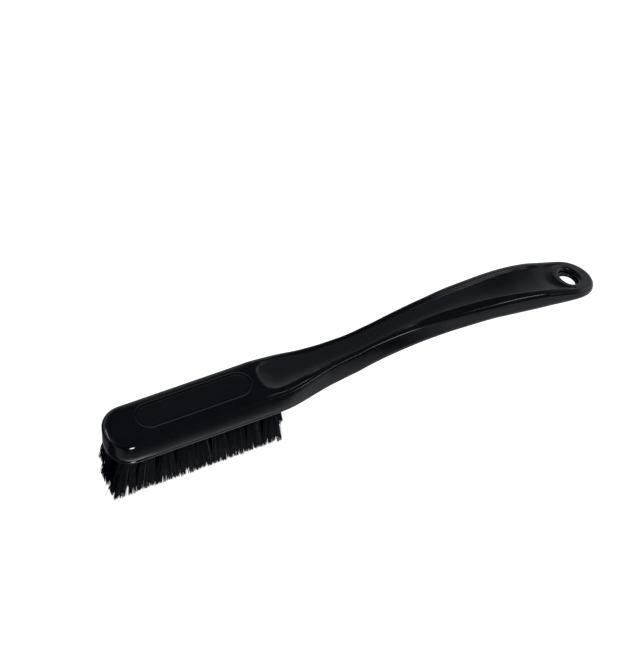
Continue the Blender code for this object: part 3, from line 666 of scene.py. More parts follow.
@dataclass
class MouldedBody:
    """The block and handle in one moulding: skin, name plate, hanging hole and tuft holes."""

    form: BodyForm
    finish: PlasticFinish = field(default_factory=PlasticFinish)

    # Name plate, and its steps from the outline inwards: how far in, and how far up
    plate_front: float = 15.2
    plate_length: float = 58.3
    plate_width: float = 16.0
    plate_sink: float = 0.03
    plate_steps: Sequence[tuple[float, float]] = ((0.14, 0.01), (0.14, 0.04), (0.14, 0.055),
                                                  (0.14, 0.045), (0.14, 0.01), (0.14, -0.02),
                                                  (0.14, -0.05), (0.14, -0.06), (0.14, -0.05),
                                                  (0.14, -0.02), (0.13, -0.012), (0.13, 0.0),
                                                  (0.13, 0.01), (0.14, 0.02), (0.14, 0.035),
                                                  (0.14, 0.025), (0.14, 0.008))
    plate_corner_lines: int = 22

    # Where the surface is dull: the plate's panel, and the recess along the brush up to the hole
    panel_radius: float = 5.7
    panel_dullness: float = 0.27
    grain_fades: Table = ((0.0, 1.0), (120.0, 1.0), (180.0, 1.2), (203.0, 0.2), (250.0, 0.0))
    hole_rim: float = 7.0

    # Holes
    tuft_hole_radius: float = 2.6
    tuft_hole_depth: float = 8.0
    tuft_hole_sides: int = 24
    hole_rings: int = 9
    hole_sides: int = 64
    hole_cutter_length: float = 30.0
    mouth_gap: float = 0.04
    smooth_angle: float = math.radians(38.0)
    upper_zone: float = 3.2

    # How close points lie that are welded, and how far a face may lie off its place to be found
    skin_weld: float = 0.004
    sliver: float = 0.002
    mouth_weld: float = 0.003
    floor_slack: float = 0.004
    wall_slack: float = 0.02

    # Lines of the skin round a section, from the middle of the underside to the middle of the top
    under_shares: Sequence[float] = (0.0, 0.2, 0.4, 0.6, 0.8)
    lower_edge_lines: int = 7
    groove_profile: Table = ((-0.5, 0.0), (-0.3, 0.35), (-0.12, 0.95), (0.12, 0.95), (0.3, 0.35),
                             (0.5, 0.0))
    wall_shares: Sequence[float] = (0.36, 0.55, 0.78)
    upper_edge_lines: int = 13
    land_shares: Sequence[float] = (0.8, 0.6, 0.4, 0.2)
    crest_steps: Sequence[float] = (0.14, 0.05)
    recess_wall_steps: Sequence[float] = (0.05, 0.15, 0.28, 0.42, 0.6, 0.8, 1.0, 1.2)
    recess_shares: Sequence[float] = (0.92, 0.84, 0.76, 0.68, 0.6, 0.52, 0.44, 0.36, 0.28, 0.2,
                                      0.1, 0.0)
    squeeze_from: float = 4.0

    def outline(self) -> tuple[np.ndarray, np.ndarray, np.ndarray]:
        """Plan outline of one side.

        Returns:
            Places along, half widths and outward normals, one for each station.
        """
        along = self.form.stations()
        wide = self.form.half_width(along)
        wide[0] = wide[-1] = 0.0
        run = np.empty((len(along), 2))
        run[1:-1, 0] = along[2:] - along[:-2]
        run[1:-1, 1] = wide[2:] - wide[:-2]
        normals = np.stack((-run[:, 1], run[:, 0]), axis=1)
        normals[0], normals[-1] = (-1.0, 0.0), (1.0, 0.0)
        normals[1:-1] /= np.hypot(normals[1:-1, 0], normals[1:-1, 1])[:, None]
        return along, wide, normals

    def side_levels(self, along: np.ndarray) -> list[tuple[np.ndarray, np.ndarray, np.ndarray]]:
        """Levels of the side wall from the underside up to the top.

        Args:
            along: the stations.

        Returns:
            For each level its inset, its height above the underside, and its drop below the
            top; the height is used where the drop is nan.
        """
        form = self.form
        upper, lower = form.edge_rounds(along)
        low, high = form.under_z(along), form.top_z(along)
        wall = high - upper - low - lower
        nan = np.full(len(along), np.nan)
        levels = []
        for turn in np.linspace(0.0, math.pi / 2, self.lower_edge_lines):
            levels.append((lower * (1 - math.sin(turn)), lower * (1 - math.cos(turn)), nan))
        fade = smooth(form.groove_fades, along)
        block_wall = form.block_height - form.block_edge_round - form.block_rim_round
        for offset, depth in self.groove_profile:
            share = (form.groove_height - form.block_rim_round
                     + offset * form.groove_width) / block_wall
            levels.append((form.groove_depth * depth * fade, lower + wall * share, nan))
        for share in self.wall_shares:
            levels.append((0.0 * wall, lower + wall * share, nan))
        crown = smooth(form.crown_fades, along)
        tilt = form.crown_tilt * crown
        sunk = form.crown_drop * crown - upper * (1 - np.cos(tilt))
        for share in np.linspace(0.0, 1.0, self.upper_edge_lines):
            turn = share * (math.pi / 2 - tilt)
            levels.append((upper * (1 - np.cos(turn)), nan, upper * (1 - np.sin(turn)) + sunk))
        return levels

    def skin_points(self) -> np.ndarray:
        """Points of the whole skin.

        Returns:
            An array of stations by places round the section by three coordinates.
        """
        form = self.form
        along, wide, normals = self.outline()
        side = []
        for inset, above, below in self.side_levels(along):
            low, high = form.under_z(along), form.top_z(along)
            height = np.where(np.isnan(below), above, high - low - np.nan_to_num(below))
            lean = form.draft_share * height
            x = along - normals[:, 0] * (inset + lean)
            y = np.maximum(wide - normals[:, 1] * (inset + lean), 0.0)
            z = np.where(np.isnan(below), form.under_z(x) + np.nan_to_num(above),
                         form.top_z(x) - np.nan_to_num(below))
            y[0] = y[-1] = 0.0
            side.append(np.stack((x, y, z), axis=1))
        bottom = [np.stack((side[0][:, 0], side[0][:, 1] * share, side[0][:, 2]), axis=1)
                  for share in self.under_shares]
        edge = side[-1]
        inner = edge[:, 1] * smooth(form.recess_width_shares, form.share(edge[:, 0]))
        land = edge[:, 1] - inner
        squeeze = np.minimum(1.0, inner / self.squeeze_from)
        foot = inner - self.recess_wall_steps[-1] * squeeze
        cap = [inner + land * share for share in self.land_shares]
        cap += [inner + np.minimum(step * squeeze, land * step) for step in self.crest_steps]
        cap += [inner - step * squeeze for step in self.recess_wall_steps]
        cap += [foot * share for share in self.recess_shares]
        columns = []
        crown = form.crown_drop * smooth(form.crown_fades, edge[:, 0])
        for y in cap:
            depth = form.recess_depth(edge[:, 0], y, inner)
            rise = 1 - np.clip((y - inner) / np.maximum(land, 1e-6), 0.0, 1.0)
            crest = form.crest_height(edge[:, 0]) * ease(rise)
            outward = (np.maximum(y - form.crown_start, 0.0)
                       / np.maximum(edge[:, 1] - form.crown_start, 1.0))
            height = form.top_z(edge[:, 0]) + crest - depth - crown * outward ** 2
            columns.append(np.stack((edge[:, 0], y, height), axis=1))
        half = np.stack(bottom + side + columns, axis=1)
        mirrored = half[:, -2::-1].copy()
        mirrored[:, :, 1] *= -1
        return np.concatenate((half, mirrored), axis=1)

    def skin(self) -> bpy.types.Object:
        """Wrap a grid round the body's sections and close it.

        Returns:
            The body without any cut.
        """
        points = self.skin_points()
        rows, columns = points.shape[:2]
        deselect_all()
        bpy.ops.mesh.primitive_grid_add(x_subdivisions=rows - 1, y_subdivisions=columns - 1,
                                        size=1.0)
        body = bpy.context.object
        body.name = "moulded_body"
        flat = np.empty(len(body.data.vertices) * 3)
        body.data.vertices.foreach_get("co", flat)
        flat = flat.reshape(-1, 3)
        row = np.rint((flat[:, 0] + 0.5) * (rows - 1)).astype(int)
        column = np.rint((flat[:, 1] + 0.5) * (columns - 1)).astype(int)
        placed = points[row, column]
        placed[:, 0] -= self.form.length / 2
        body.data.vertices.foreach_set("co", (placed * MM).ravel())
        body.data.update()
        make_active(body)
        bpy.ops.object.mode_set(mode="EDIT")
        bpy.ops.mesh.select_all(action="SELECT")
        bpy.ops.mesh.remove_doubles(threshold=self.skin_weld * MM)
        bpy.ops.mesh.dissolve_degenerate(threshold=self.sliver * MM)
        bpy.ops.mesh.normals_make_consistent(inside=False)
        bpy.ops.object.mode_set(mode="OBJECT")
        return body

    def press_plate(self, body: bpy.types.Object) -> None:
        """Raise the name plate's low bead, sink the groove inside it and leave a bare panel."""
        form = self.form
        radius = self.plate_width / 2
        middle = self.plate_front + self.plate_length / 2 - form.length / 2
        deselect_all()
        bpy.ops.mesh.primitive_cube_add(size=1.0, location=(middle * MM, 0.0, form.top * MM))
        cutter = bpy.context.object
        cutter.scale = (self.plate_length * MM, self.plate_width * MM, 2 * self.plate_sink * MM)
        bpy.ops.object.transform_apply(location=False, rotation=False, scale=True)
        bpy.ops.object.mode_set(mode="EDIT")
        bpy.ops.mesh.select_mode(type="EDGE")
        bpy.ops.mesh.select_all(action="DESELECT")
        mesh = bmesh.from_edit_mesh(cutter.data)
        for edge in mesh.edges:
            run = edge.verts[0].co - edge.verts[1].co
            edge.select = math.hypot(run.x, run.y) < 0.1 * abs(run.z)
        bmesh.update_edit_mesh(cutter.data)
        bpy.ops.mesh.bevel(offset=radius * 0.9999 * MM, segments=self.plate_corner_lines,
                           profile=0.5, affect="EDGES")
        bpy.ops.object.mode_set(mode="OBJECT")
        apply_modifier(body, "BOOLEAN", "plate_outline", operation="DIFFERENCE", object=cutter,
                       solver="EXACT")
        bpy.data.objects.remove(cutter, do_unlink=True)
        floor = (form.top - self.plate_sink) * MM
        reach = self.plate_length / 2 * MM
        found = edit_selected(body, lambda face: face.normal.z > 0.99
                              and abs(face.calc_center_median().z - floor) < self.floor_slack * MM
                              and abs(face.calc_center_median().x - middle * MM) < reach)
        LOG.info("name plate floor: %d faces", found)
        bpy.ops.mesh.dissolve_faces()
        straight = (self.plate_length / 2 - radius) * MM
        inset, height = 0.0, form.top - self.plate_sink
        for thickness, rise in self.plate_steps:
            inset += thickness
            height += rise
            bpy.ops.mesh.extrude_region_move()
            mesh = bmesh.from_edit_mesh(body.data)
            for vertex in [v for v in mesh.verts if v.select]:
                centre = min(max(vertex.co.x - middle * MM, -straight), straight) + middle * MM
                outward = Vector((vertex.co.x - centre, vertex.co.y, 0.0)).normalized()
                vertex.co = Vector((centre, 0.0, height * MM)) + outward * (radius - inset) * MM
            bmesh.update_edit_mesh(body.data)
        bpy.ops.object.mode_set(mode="OBJECT")

    def mark_dull(self, body: bpy.types.Object) -> None:
        """Write down how dull each point is: the recess is finely grained, the name plate less so."""
        form = self.form
        flat = np.empty(len(body.data.vertices) * 3)
        body.data.vertices.foreach_get("co", flat)
        points = flat.reshape(-1, 3) / MM
        along, across, height = points[:, 0] + form.length / 2, np.abs(points[:, 1]), points[:, 2]
        upper = height > form.top_z(along) - self.upper_zone
        middle = self.plate_front + self.plate_length / 2
        straight = self.plate_length / 2 - self.plate_width / 2
        beyond = np.maximum(np.abs(along - middle) - straight, 0.0)
        panel = upper & (np.hypot(beyond, across) < self.panel_radius)
        edge = form.half_width(along) - form.edge_rounds(along)[0]
        half = edge * smooth(form.recess_width_shares, form.share(along))
        deep = form.recess_depth(along, across, half) > form.wall_depth * form.end_wall_share
        clear = np.hypot(along - form.hole_at, across) > self.hole_rim
        dull = np.where(panel, self.panel_dullness, 0.0)
        dull = np.where(upper & clear & deep, smooth(self.grain_fades, along), dull)
        body.data.attributes.new(DULL, "FLOAT", "POINT").data.foreach_set("value", dull)

    def hole_axis(self) -> Matrix:
        """Frame of the hanging hole: its Z runs along the hole, in metres."""
        form = self.form
        step = form.hole_mouth_round
        ahead, behind = form.hole_at + step, form.hole_at - step
        slope = math.atan2(float(form.top_z(ahead) - form.top_z(behind)), 2 * step)
        middle = 0.5 * float(form.top_z(form.hole_at) + form.under_z(form.hole_at))
        place = Vector(((form.hole_at - form.length / 2) * MM, 0.0, middle * MM))
        return Matrix.Translation(place) @ Matrix.Rotation(-slope, 4, "Y")

    def pierce(self, body: bpy.types.Object) -> None:
        """Open the hanging hole and turn its two mouths into one smooth rounded wall."""
        form = self.form
        mouth = (form.hole_radius + form.hole_mouth_round) * MM
        axis = self.hole_axis()
        deselect_all()
        bpy.ops.mesh.primitive_cylinder_add(vertices=self.hole_sides, radius=mouth,
                                            depth=self.hole_cutter_length * MM)
        cutter = bpy.context.object
        cutter.data.transform(axis)
        apply_modifier(body, "BOOLEAN", "hole", operation="DIFFERENCE", object=cutter,
                       solver="EXACT")
        bpy.data.objects.remove(cutter, do_unlink=True)
        inverse = axis.inverted()

        def on_wall(face: bmesh.types.BMFace) -> bool:
            """Whether a face is part of the straight wall that the cutter left."""
            return (all(abs((inverse @ vertex.co).xy.length - mouth) < self.wall_slack * MM
                        for vertex in face.verts)
                    and (inverse @ face.calc_center_median()).xy.length < mouth)

        found = edit_selected(body, on_wall)
        LOG.info("hanging hole wall: %d faces", found)
        bpy.ops.mesh.delete(type="FACE")
        bpy.ops.mesh.select_mode(type="EDGE")
        for side in (1, -1):
            self.roll_mouth(body, axis, side)
        bpy.ops.mesh.select_all(action="DESELECT")
        bpy.ops.mesh.select_non_manifold(extend=False, use_wire=False, use_boundary=True,
                                         use_multi_face=False, use_non_contiguous=False,
                                         use_verts=False)
        bpy.ops.mesh.bridge_edge_loops()
        bpy.ops.mesh.select_all(action="SELECT")
        bpy.ops.mesh.remove_doubles(threshold=self.mouth_weld * MM)
        bpy.ops.mesh.normals_make_consistent(inside=False)
        bpy.ops.object.mode_set(mode="OBJECT")

    def roll_mouth(self, body: bpy.types.Object, axis: Matrix, side: int) -> None:
        """Extrude one mouth of the hole inwards, ring by ring, on a quarter ellipse.

        Args:
            body: the body, in edit mode.
            axis: the hole's frame.
            side: 1 for the upper mouth, -1 for the lower one.
        """
        form = self.form
        inverse = axis.inverted()
        mesh = bmesh.from_edit_mesh(body.data)
        bpy.ops.mesh.select_all(action="DESELECT")
        for edge in mesh.edges:
            centre = inverse @ ((edge.verts[0].co + edge.verts[1].co) / 2)
            if edge.is_boundary and centre.z * side > 0:
                edge.select_set(True)
        bmesh.update_edit_mesh(body.data)
        starts = {}
        gap = self.mouth_gap * MM * side
        for ring in range(1, self.hole_rings + 1):
            bpy.ops.mesh.extrude_edges_move()
            mesh = bmesh.from_edit_mesh(body.data)
            turn = math.pi / 2 * ring / self.hole_rings
            for vertex in [v for v in mesh.verts if v.select]:
                local = inverse @ vertex.co
                heading = round(math.atan2(local.y, local.x), 7)
                if ring == 1:
                    starts[heading] = local.copy()
                start = starts[min(starts, key=lambda known: abs(known - heading))]
                radius = (form.hole_radius + form.hole_mouth_round * (1 - math.sin(turn))) * MM
                height = gap + (start.z - gap) * math.cos(turn)
                spread = radius / start.xy.length
                vertex.co = axis @ Vector((start.x * spread, start.y * spread, height))
            bmesh.update_edit_mesh(body.data)

    def drill_tuft_holes(self, body: bpy.types.Object, places: Iterable[Vector]) -> None:
        """Drill the blind holes that the tufts stand in."""
        depth = 2 * self.tuft_hole_depth * MM
        floor = self.form.underside * MM
        drills = []
        for place in places:
            deselect_all()
            bpy.ops.mesh.primitive_cylinder_add(vertices=self.tuft_hole_sides,
                                                radius=self.tuft_hole_radius * MM, depth=depth,
                                                location=(place.x, place.y, floor))
            drills.append(bpy.context.object)
        deselect_all()
        for drill in drills:
            drill.select_set(True)
        bpy.context.view_layer.objects.active = drills[0]
        bpy.ops.object.join()
        cutter = bpy.context.object
        apply_modifier(body, "BOOLEAN", "tuft_holes", operation="DIFFERENCE", object=cutter,
                       solver="EXACT")
        bpy.data.objects.remove(cutter, do_unlink=True)

    def build(self, places: Iterable[Vector]) -> bpy.types.Object:
        """Make the whole body.

        Args:
            places: centre of each tuft hole, in metres.

        Returns:
            The finished piece.
        """
        body = self.skin()
        self.press_plate(body)
        self.pierce(body)
        self.drill_tuft_holes(body, places)
        self.mark_dull(body)
        make_active(body)
        bpy.ops.object.shade_smooth_by_angle(angle=self.smooth_angle)
        body.data.materials.clear()
        body.data.materials.append(self.finish.material())
        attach(body, "root")
        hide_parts(BODY_NODE)
        LOG.info("moulded body: %d faces", len(body.data.polygons))
        return body


@dataclass
class BristleField:
    """All the tufts: bundles of thin strands that open, clump and end unevenly.

    The strands start to open inside their hole, so the outermost pass through the hole's wall near
    its mouth, and strands of one tuft and of its neighbours pass through each other.
    """

    form: BodyForm
    finish: BristleFinish = field(default_factory=BristleFinish)
    strands: int = 820
    root_radius: float = 2.3
    cell_length: float = 4.7
    cell_width: float = 4.3
    strand_radius: float = 0.11
    tip_share: float = 0.85
    clumps: int = 30
    clump_pull: float = 0.32
    clump_radius: float = 0.25
    ragged: float = 0.85
    ragged_share: Pair = (0.6, 1.1)
    uneven: float = 0.5
    stray_share: float = 0.03
    stray_spread: float = 1.2
    stray_lift: float = 2.5
    bend: Pair = (0.4, 0.75)
    sway: float = 0.2
    thickness: Pair = (0.8, 1.2)
    cuts: Sequence[float] = (0.08, 0.25, 0.6)
    first: float = 5.2
    pitch: float = 8.5
    last_number: int = 9
    front_side_lean: float = 1.8
    back_side_lean: float = 1.3
    front_lean: float = 2.2
    front_lean_pitches: float = 3.5
    near_corner_lean: float = 2.1
    far_corner_lean: float = 0.9
    back_lean: float = 0.5
    tone_power: float = 18.0
    inset: float = 1.2
    seed: int = 41

    def strand_shape(self) -> tuple[np.ndarray, list[tuple[int, ...]]]:
        """Model one strand, upright from 0 to 1, thin and three-sided.

        Returns:
            Its points, with the height as a share of the length, and its faces.
        """
        deselect_all()
        bpy.ops.mesh.primitive_cone_add(vertices=3, radius1=1.0, radius2=self.tip_share, depth=1.0,
                                        end_fill_type="NGON", location=(0.0, 0.0, 0.5))
        strand = bpy.context.object
        bpy.ops.object.mode_set(mode="EDIT")
        for height in self.cuts:
            bpy.ops.mesh.select_all(action="SELECT")
            bpy.ops.mesh.bisect(plane_co=(0.0, 0.0, height), plane_no=(0.0, 0.0, 1.0))
        bpy.ops.object.mode_set(mode="OBJECT")
        points = np.array([strand.matrix_world @ vertex.co for vertex in strand.data.vertices])
        faces = [tuple(face.vertices) for face in strand.data.polygons]
        bpy.data.objects.remove(strand, do_unlink=True)
        return points, faces

    def number(self, place: Vector) -> float:
        """How many pitches a tuft stands behind the first one."""
        return (place.x / MM + self.form.length / 2 - self.first) / self.pitch

    def opening(self, place: Vector, row: Row) -> float:
        """How much wider a tuft opens along the brush where its neighbours lean away from it."""
        if self.number(place) > self.front_lean_pitches:
            return 1.0
        return 1 + self.first_lean(row) / (self.front_lean_pitches * self.pitch)

    def first_lean(self, row: Row) -> float:
        """How far forward a tuft at the very front would lean; the corners lean the most."""
        corner = {Row.LEFT: self.far_corner_lean, Row.MIDDLE: 0.0, Row.RIGHT: self.near_corner_lean}
        return self.front_lean * (1 + corner[row])

    def lean(self, place: Vector, row: Row) -> Vector:
        """How far a tuft's middle has moved at its tips, in millimetres."""
        from_first = self.number(place)
        from_last = self.last_number - from_first
        front = max(0.0, 1 - from_first / self.front_lean_pitches)
        back = max(0.0, 1 - from_last)
        side = (self.front_side_lean * from_last
                + self.back_side_lean * from_first) / self.last_number
        return Vector((self.back_lean * back - self.first_lean(row) * front, side * row.value, 0.0))

    @staticmethod
    def scatter(chance: random.Random, spread: float) -> Vector:
        """Draw a small step aside."""
        return Vector((chance.gauss(0.0, spread), chance.gauss(0.0, spread), 0.0))

    def tuft(self, name: str, place: Vector, row: Row, chance: random.Random,
             shape: tuple[np.ndarray, list[tuple[int, ...]]]) -> bpy.types.Object:
        """Make one tuft as one mesh.

        Args:
            name: the piece's name.
            place: middle of its hole, in metres.
            row: the row it stands in.
            chance: the seeded source of its unevenness.
            shape: one strand's points and faces.

        Returns:
            The tuft.
        """
        points, faces = shape
        lean = self.lean(place, row)
        centres = []
        cell_length = self.cell_length * self.opening(place, row)
        for _ in range(self.clumps):
            centre = Vector((chance.uniform(-1.0, 1.0) * cell_length,
                             chance.uniform(-1.0, 1.0) * self.cell_width, 0.0))
            centres.append((centre, chance.uniform(0.0, self.ragged)))
        base_x, base_y = place.x / MM, place.y / MM
        root_z = self.form.underside + self.inset
        all_points = []
        tones = []
        all_faces: list[tuple[int, ...]] = []
        for number in range(self.strands):
            reach = self.root_radius * math.sqrt((number + 0.5) / self.strands)
            turn = number * math.pi * (3 - math.sqrt(5))
            root = Vector((reach * math.cos(turn), reach * math.sin(turn), 0.0))
            a, b = on_square(reach / self.root_radius, turn)
            aim = Vector((a * cell_length, b * self.cell_width, 0.0))
            centre, short = min(centres, key=lambda clump: (clump[0] - aim).length)
            tip = aim.lerp(centre, self.clump_pull) + lean
            tip += self.scatter(chance, self.clump_radius)
            tip_z = max(0.0, short * chance.uniform(*self.ragged_share)
                        + chance.uniform(0.0, self.uneven))
            if chance.random() < self.stray_share:
                tip += self.scatter(chance, self.stray_spread)
                tip_z += chance.uniform(0.0, self.stray_lift)
            bend = chance.uniform(*self.bend)
            sway = self.scatter(chance, self.sway)
            thick = self.strand_radius * chance.uniform(*self.thickness)
            t = points[:, 2]
            drift = t ** bend
            wave = np.sin(math.pi * t)
            x = base_x + root.x + (tip.x - root.x) * drift + sway.x * wave + thick * points[:, 0]
            y = base_y + root.y + (tip.y - root.y) * drift + sway.y * wave + thick * points[:, 1]
            z = root_z + (tip_z - root_z) * t
            tones.extend([chance.random() ** self.tone_power] * len(points))
            start = number * len(points)
            all_points.append(np.stack((x, y, z), axis=1))
            all_faces.extend(tuple(start + i for i in reversed(face)) for face in faces)
        mesh = bpy.data.meshes.new(name)
        mesh.from_pydata((np.concatenate(all_points) * MM).tolist(), [], all_faces)
        mesh.attributes.new(STRAND_TONE, "FLOAT", "POINT").data.foreach_set("value", tones)
        mesh.update()
        tuft = bpy.data.objects.new(name, mesh)
        bpy.context.scene.collection.objects.link(tuft)
        return tuft

    def build(self) -> list[bpy.types.Object]:
        """Make every tuft in place of its solid."""
        chance = random.Random(self.seed)
        shape = self.strand_shape()
        material = self.finish.material()
        tufts = []
        for node in sorted(n for n in frame["nodes"] if n.startswith(TUFT_PREFIX)):
            label = node[len(TUFT_PREFIX):]
            place = node_middle(ANCHOR_PREFIX + label)
            row = Row[label.split("_")[0].upper()]
            tuft = self.tuft("bristles_" + label, place, row, chance, shape)
            tuft.data.materials.append(material)
            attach(tuft, "root")
            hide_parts(node)
            tufts.append(tuft)
        LOG.info("bristles: %d tufts of %d strands", len(tufts), self.strands)
        return tufts


def node_middle(node: str) -> Vector:
    """Middle of a construction node's box."""
    low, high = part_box(node)
    return (low + high) / 2


def dress_anchors() -> None:
    """Give the wire anchors inside the holes their finish."""
    material = WireFinish().material()
    for name, node in frame["nodes"].items():
        if name.startswith(ANCHOR_PREFIX):
            node.data.materials.clear()
            node.data.materials.append(material)
    LOG.info("anchors dressed")


@dataclass(frozen=True)
class Lamp:
    """One soft lamp that faces the brush.

    Its azimuth runs from +X towards +Y and its elevation up from the floor, in degrees. Its size is
    in metres, and its radiance is how bright its face looks, where 1 is white. Its roll turns the
    face about that direction, in degrees.
    """

    name: str
    azimuth: float
    elevation: float
    size: Pair
    radiance: float
    roll: float = 0.0
    in_gloss: bool = True

    def hang(self, distance: float) -> None:
        """Hang the lamp at a distance from the brush, in metres."""
        data = bpy.data.lights.new(self.name, "AREA")
        data.shape = "RECTANGLE"
        data.size, data.size_y = self.size
        data.energy = self.radiance * math.pi * self.size[0] * self.size[1]
        lamp = bpy.data.objects.new(self.name, data)
        bpy.context.scene.collection.objects.link(lamp)
        turn, lift = math.radians(self.azimuth), math.radians(self.elevation)
        direction = Vector((math.cos(turn) * math.cos(lift), math.sin(turn) * math.cos(lift),
                            math.sin(lift)))
        facing = direction.to_track_quat("Z", "Y").to_matrix().to_4x4()
        lamp.matrix_world = (Matrix.Translation(direction * distance) @ facing
                             @ Matrix.Rotation(math.radians(self.roll), 4, "Z"))
        lamp.visible_glossy = self.in_gloss


@dataclass(frozen=True)
class Oval:
    """One bright oval of the card, in metres on the floor."""

    middle: Pair
    reach: Pair
    level: float
    fade: Pair = (0.5, 1.1)

    def brightness(self, tree: bpy.types.NodeTree, place: Socket) -> Socket:
        """Light the oval.

        Args:
            tree: the floor's nodes.
            place: the place on the floor.

        Returns:
            Its level there.
        """
        moved = reckon_vector(tree, "SUBTRACT", place, (*self.middle, 0.0))
        shrunk = reckon_vector(tree, "DIVIDE", moved, (*self.reach, 1.0))
        away = reckon_vector(tree, "LENGTH", shrunk)
        return remap(tree, away, self.fade, (self.level, 0.0), soft=True)


@dataclass
class Studio:
    """Camera at the photograph's angle, lamps, and a floor and world that gloss sees differently.

    The camera sees them white, but for a painted shadow on the floor under the bristles. The gloss
    sees a card on the floor and a band of light in a dim room, placed for the highlights of the
    photograph's view.
    """

    camera_azimuth: float = 0.42252
    camera_elevation: float = 0.87276
    camera_place: tuple[float, float, float] = (-0.33786, -0.70525, 0.97726)
    lens: float = 144.356
    sensor_width: float = 36.0
    lamp_distance: float = 1.6
    lamps: Sequence[Lamp] = (
        Lamp("key", -97.0, 30.0, (0.5, 0.4), 8.0, in_gloss=False),
        Lamp("right_box", -10.0, 14.0, (1.3, 0.6), 0.5),
        Lamp("left_box", 158.0, 4.0, (0.9, 0.3), 0.8),
        Lamp("left_strip", 153.0, 18.0, (1.1, 0.09), 7.0, -35.5),
        Lamp("right_strip", -38.0, 42.0, (0.65, 0.13), 6.0, -30.0),
        Lamp("side_strip", -57.0, 45.0, (0.22, 0.16), 1.8, 20.0))

    # The floor as the camera sees it. Its glow and its lit albedo together are past white, so that
    # no shadow shows on it. The glow is left out in the oblong under the bristles, a painted shadow
    # that darkens the floor between them; the oblong is given by its back, front, half width and soft
    # edge.
    floor_size: float = 8.0
    floor_albedo: float = 0.55
    floor_rough: float = 0.9
    glow: float = 0.8
    under_brush: tuple[float, float, float, float] = (-0.1128, -0.0545, 0.0112, 0.004)

    # The card that only gloss sees: its levels from its near edge to its far side, and how they
    # change along the brush; places are in metres on the floor
    # The card's low levels across its middle, under the brush, are a painted shadow of the brush seen
    # in the gloss
    card: Table = ((0.184, 0.07), (0.196, 0.18), (0.206, 0.32), (0.218, 0.42), (0.229, 0.55),
                   (0.26, 0.85), (0.33, 1.3), (0.385, 1.1), (0.43, 0.07), (0.57, 0.07), (0.62, 0.5),
                   (0.77, 0.3))
    card_sides: Pair = (-0.055, 0.055)
    card_nose: float = 0.2
    nose_fade: Pair = (-0.135, -0.113)
    card_neck: float = 0.42
    neck_fade: Pair = (-0.04, -0.005)
    card_right: float = 0.36
    right_fade: Pair = (0.02, 0.06)
    right_near: Pair = (-0.012, -0.03)
    card_beyond: float = 0.6
    beyond_fade: Pair = (0.12, 0.145)
    ovals: Sequence[Oval] = (Oval((-0.126, -0.08), (0.011, 0.034), 32.0),
                             Oval((0.0345, -0.1), (0.0105, 0.05), 7.0))

    # The band of light low on the far side, by the direction's own Z, Y and X, and the levels
    band_height: Pair = (0.2, 0.76)
    band_far: Pair = (-0.6, 0.3)
    band_level: float = 0.54
    room_level: float = 0.066
    right_gain: float = 0.85
    right_side: Pair = (0.25, 0.65)
    matte_level: float = 0.8

    def camera(self) -> None:
        """Set the camera up as the photograph's."""
        turn, lift = self.camera_azimuth, self.camera_elevation
        back = Vector((-math.sin(turn) * math.cos(lift), -math.cos(turn) * math.cos(lift),
                       math.sin(lift)))
        right = Vector((math.cos(turn), -math.sin(turn), 0.0))
        up = back.cross(right)
        data = bpy.data.cameras.new("camera")
        data.lens = self.lens
        data.sensor_width = self.sensor_width
        data.sensor_fit = "AUTO"
        camera = bpy.data.objects.new("camera", data)
        bpy.context.scene.collection.objects.link(camera)
        turned = Matrix((right, up, back)).transposed().to_4x4()
        camera.matrix_world = Matrix.Translation(self.camera_place) @ turned
        bpy.context.scene.camera = camera

    def floor(self) -> None:
        """Lay the floor: white to the camera but for a painted shadow under the bristles, the card to
        the gloss.
        """
        deselect_all()
        bpy.ops.mesh.primitive_plane_add(size=self.floor_size)
        floor = bpy.context.object
        floor.name = "floor"
        material = new_material("white_card")
        tree = material.node_tree
        shader = tree.nodes["Principled BSDF"].inputs
        shader["Roughness"].default_value = self.floor_rough
        shader["Specular IOR Level"].default_value = 0.0
        shader["Emission Color"].default_value = (1.0, 1.0, 1.0, 1.0)
        path = tree.nodes.new("ShaderNodeLightPath").outputs
        plug(tree, shader["Base Color"],
             mix(tree, "RGBA", path["Is Glossy Ray"], (self.floor_albedo,) * 3, (0.0,) * 3))
        place, x, y, _ = split_place(tree, "Object")
        seen = reckon(tree, "MAXIMUM", path["Is Camera Ray"], path["Is Transmission Ray"])
        # The camera's white glow, left dark under the bristles as a painted shadow
        white = reckon(tree, "MULTIPLY", seen, self.glow_with_painted_shadow(tree, x, y))
        mirrored = reckon(tree, "MULTIPLY", self.card_level(tree, place, x, y),
                          path["Is Glossy Ray"])
        plug(tree, shader["Emission Strength"], reckon(tree, "ADD", white, mirrored))
        floor.data.materials.append(material)

    def card_level(self, tree: bpy.types.NodeTree, place: Socket, x: Socket, y: Socket) -> Socket:
        """Reckon how bright the card looks in the brush's gloss.

        Args:
            tree: the floor's nodes.
            place: the place on the floor.
            x: its X.
            y: its Y.

        Returns:
            The level there.
        """
        ramp = tree.nodes.new("ShaderNodeValToRGB")
        ramp.color_ramp.interpolation = "LINEAR"
        stops = ramp.color_ramp.elements
        for number, (position, level) in enumerate(self.card):
            stop = stops[number] if number < 2 else stops.new(position)
            stop.position = position
            stop.color = (level,) * 3 + (1.0,)
        plug(tree, ramp.inputs["Fac"], remap(tree, y, self.card_sides))
        neck = remap(tree, x, self.neck_fade, (1.0, self.card_neck), soft=True)
        nose = remap(tree, x, self.nose_fade, (self.card_nose, 1.0), soft=True)
        whole = reckon(tree, "MULTIPLY", ramp.outputs["Color"],
                       reckon(tree, "MULTIPLY", neck, nose))
        right = remap(tree, x, self.right_fade, (0.0, self.card_right), soft=True)
        aside = reckon(tree, "MULTIPLY", right, remap(tree, y, self.right_near, soft=True))
        beyond = remap(tree, x, self.beyond_fade, (0.0, self.card_beyond), soft=True)
        whole = reckon(tree, "MAXIMUM", whole, reckon(tree, "MAXIMUM", aside, beyond))
        for oval in self.ovals:
            whole = reckon(tree, "MAXIMUM", whole, oval.brightness(tree, place))
        return whole

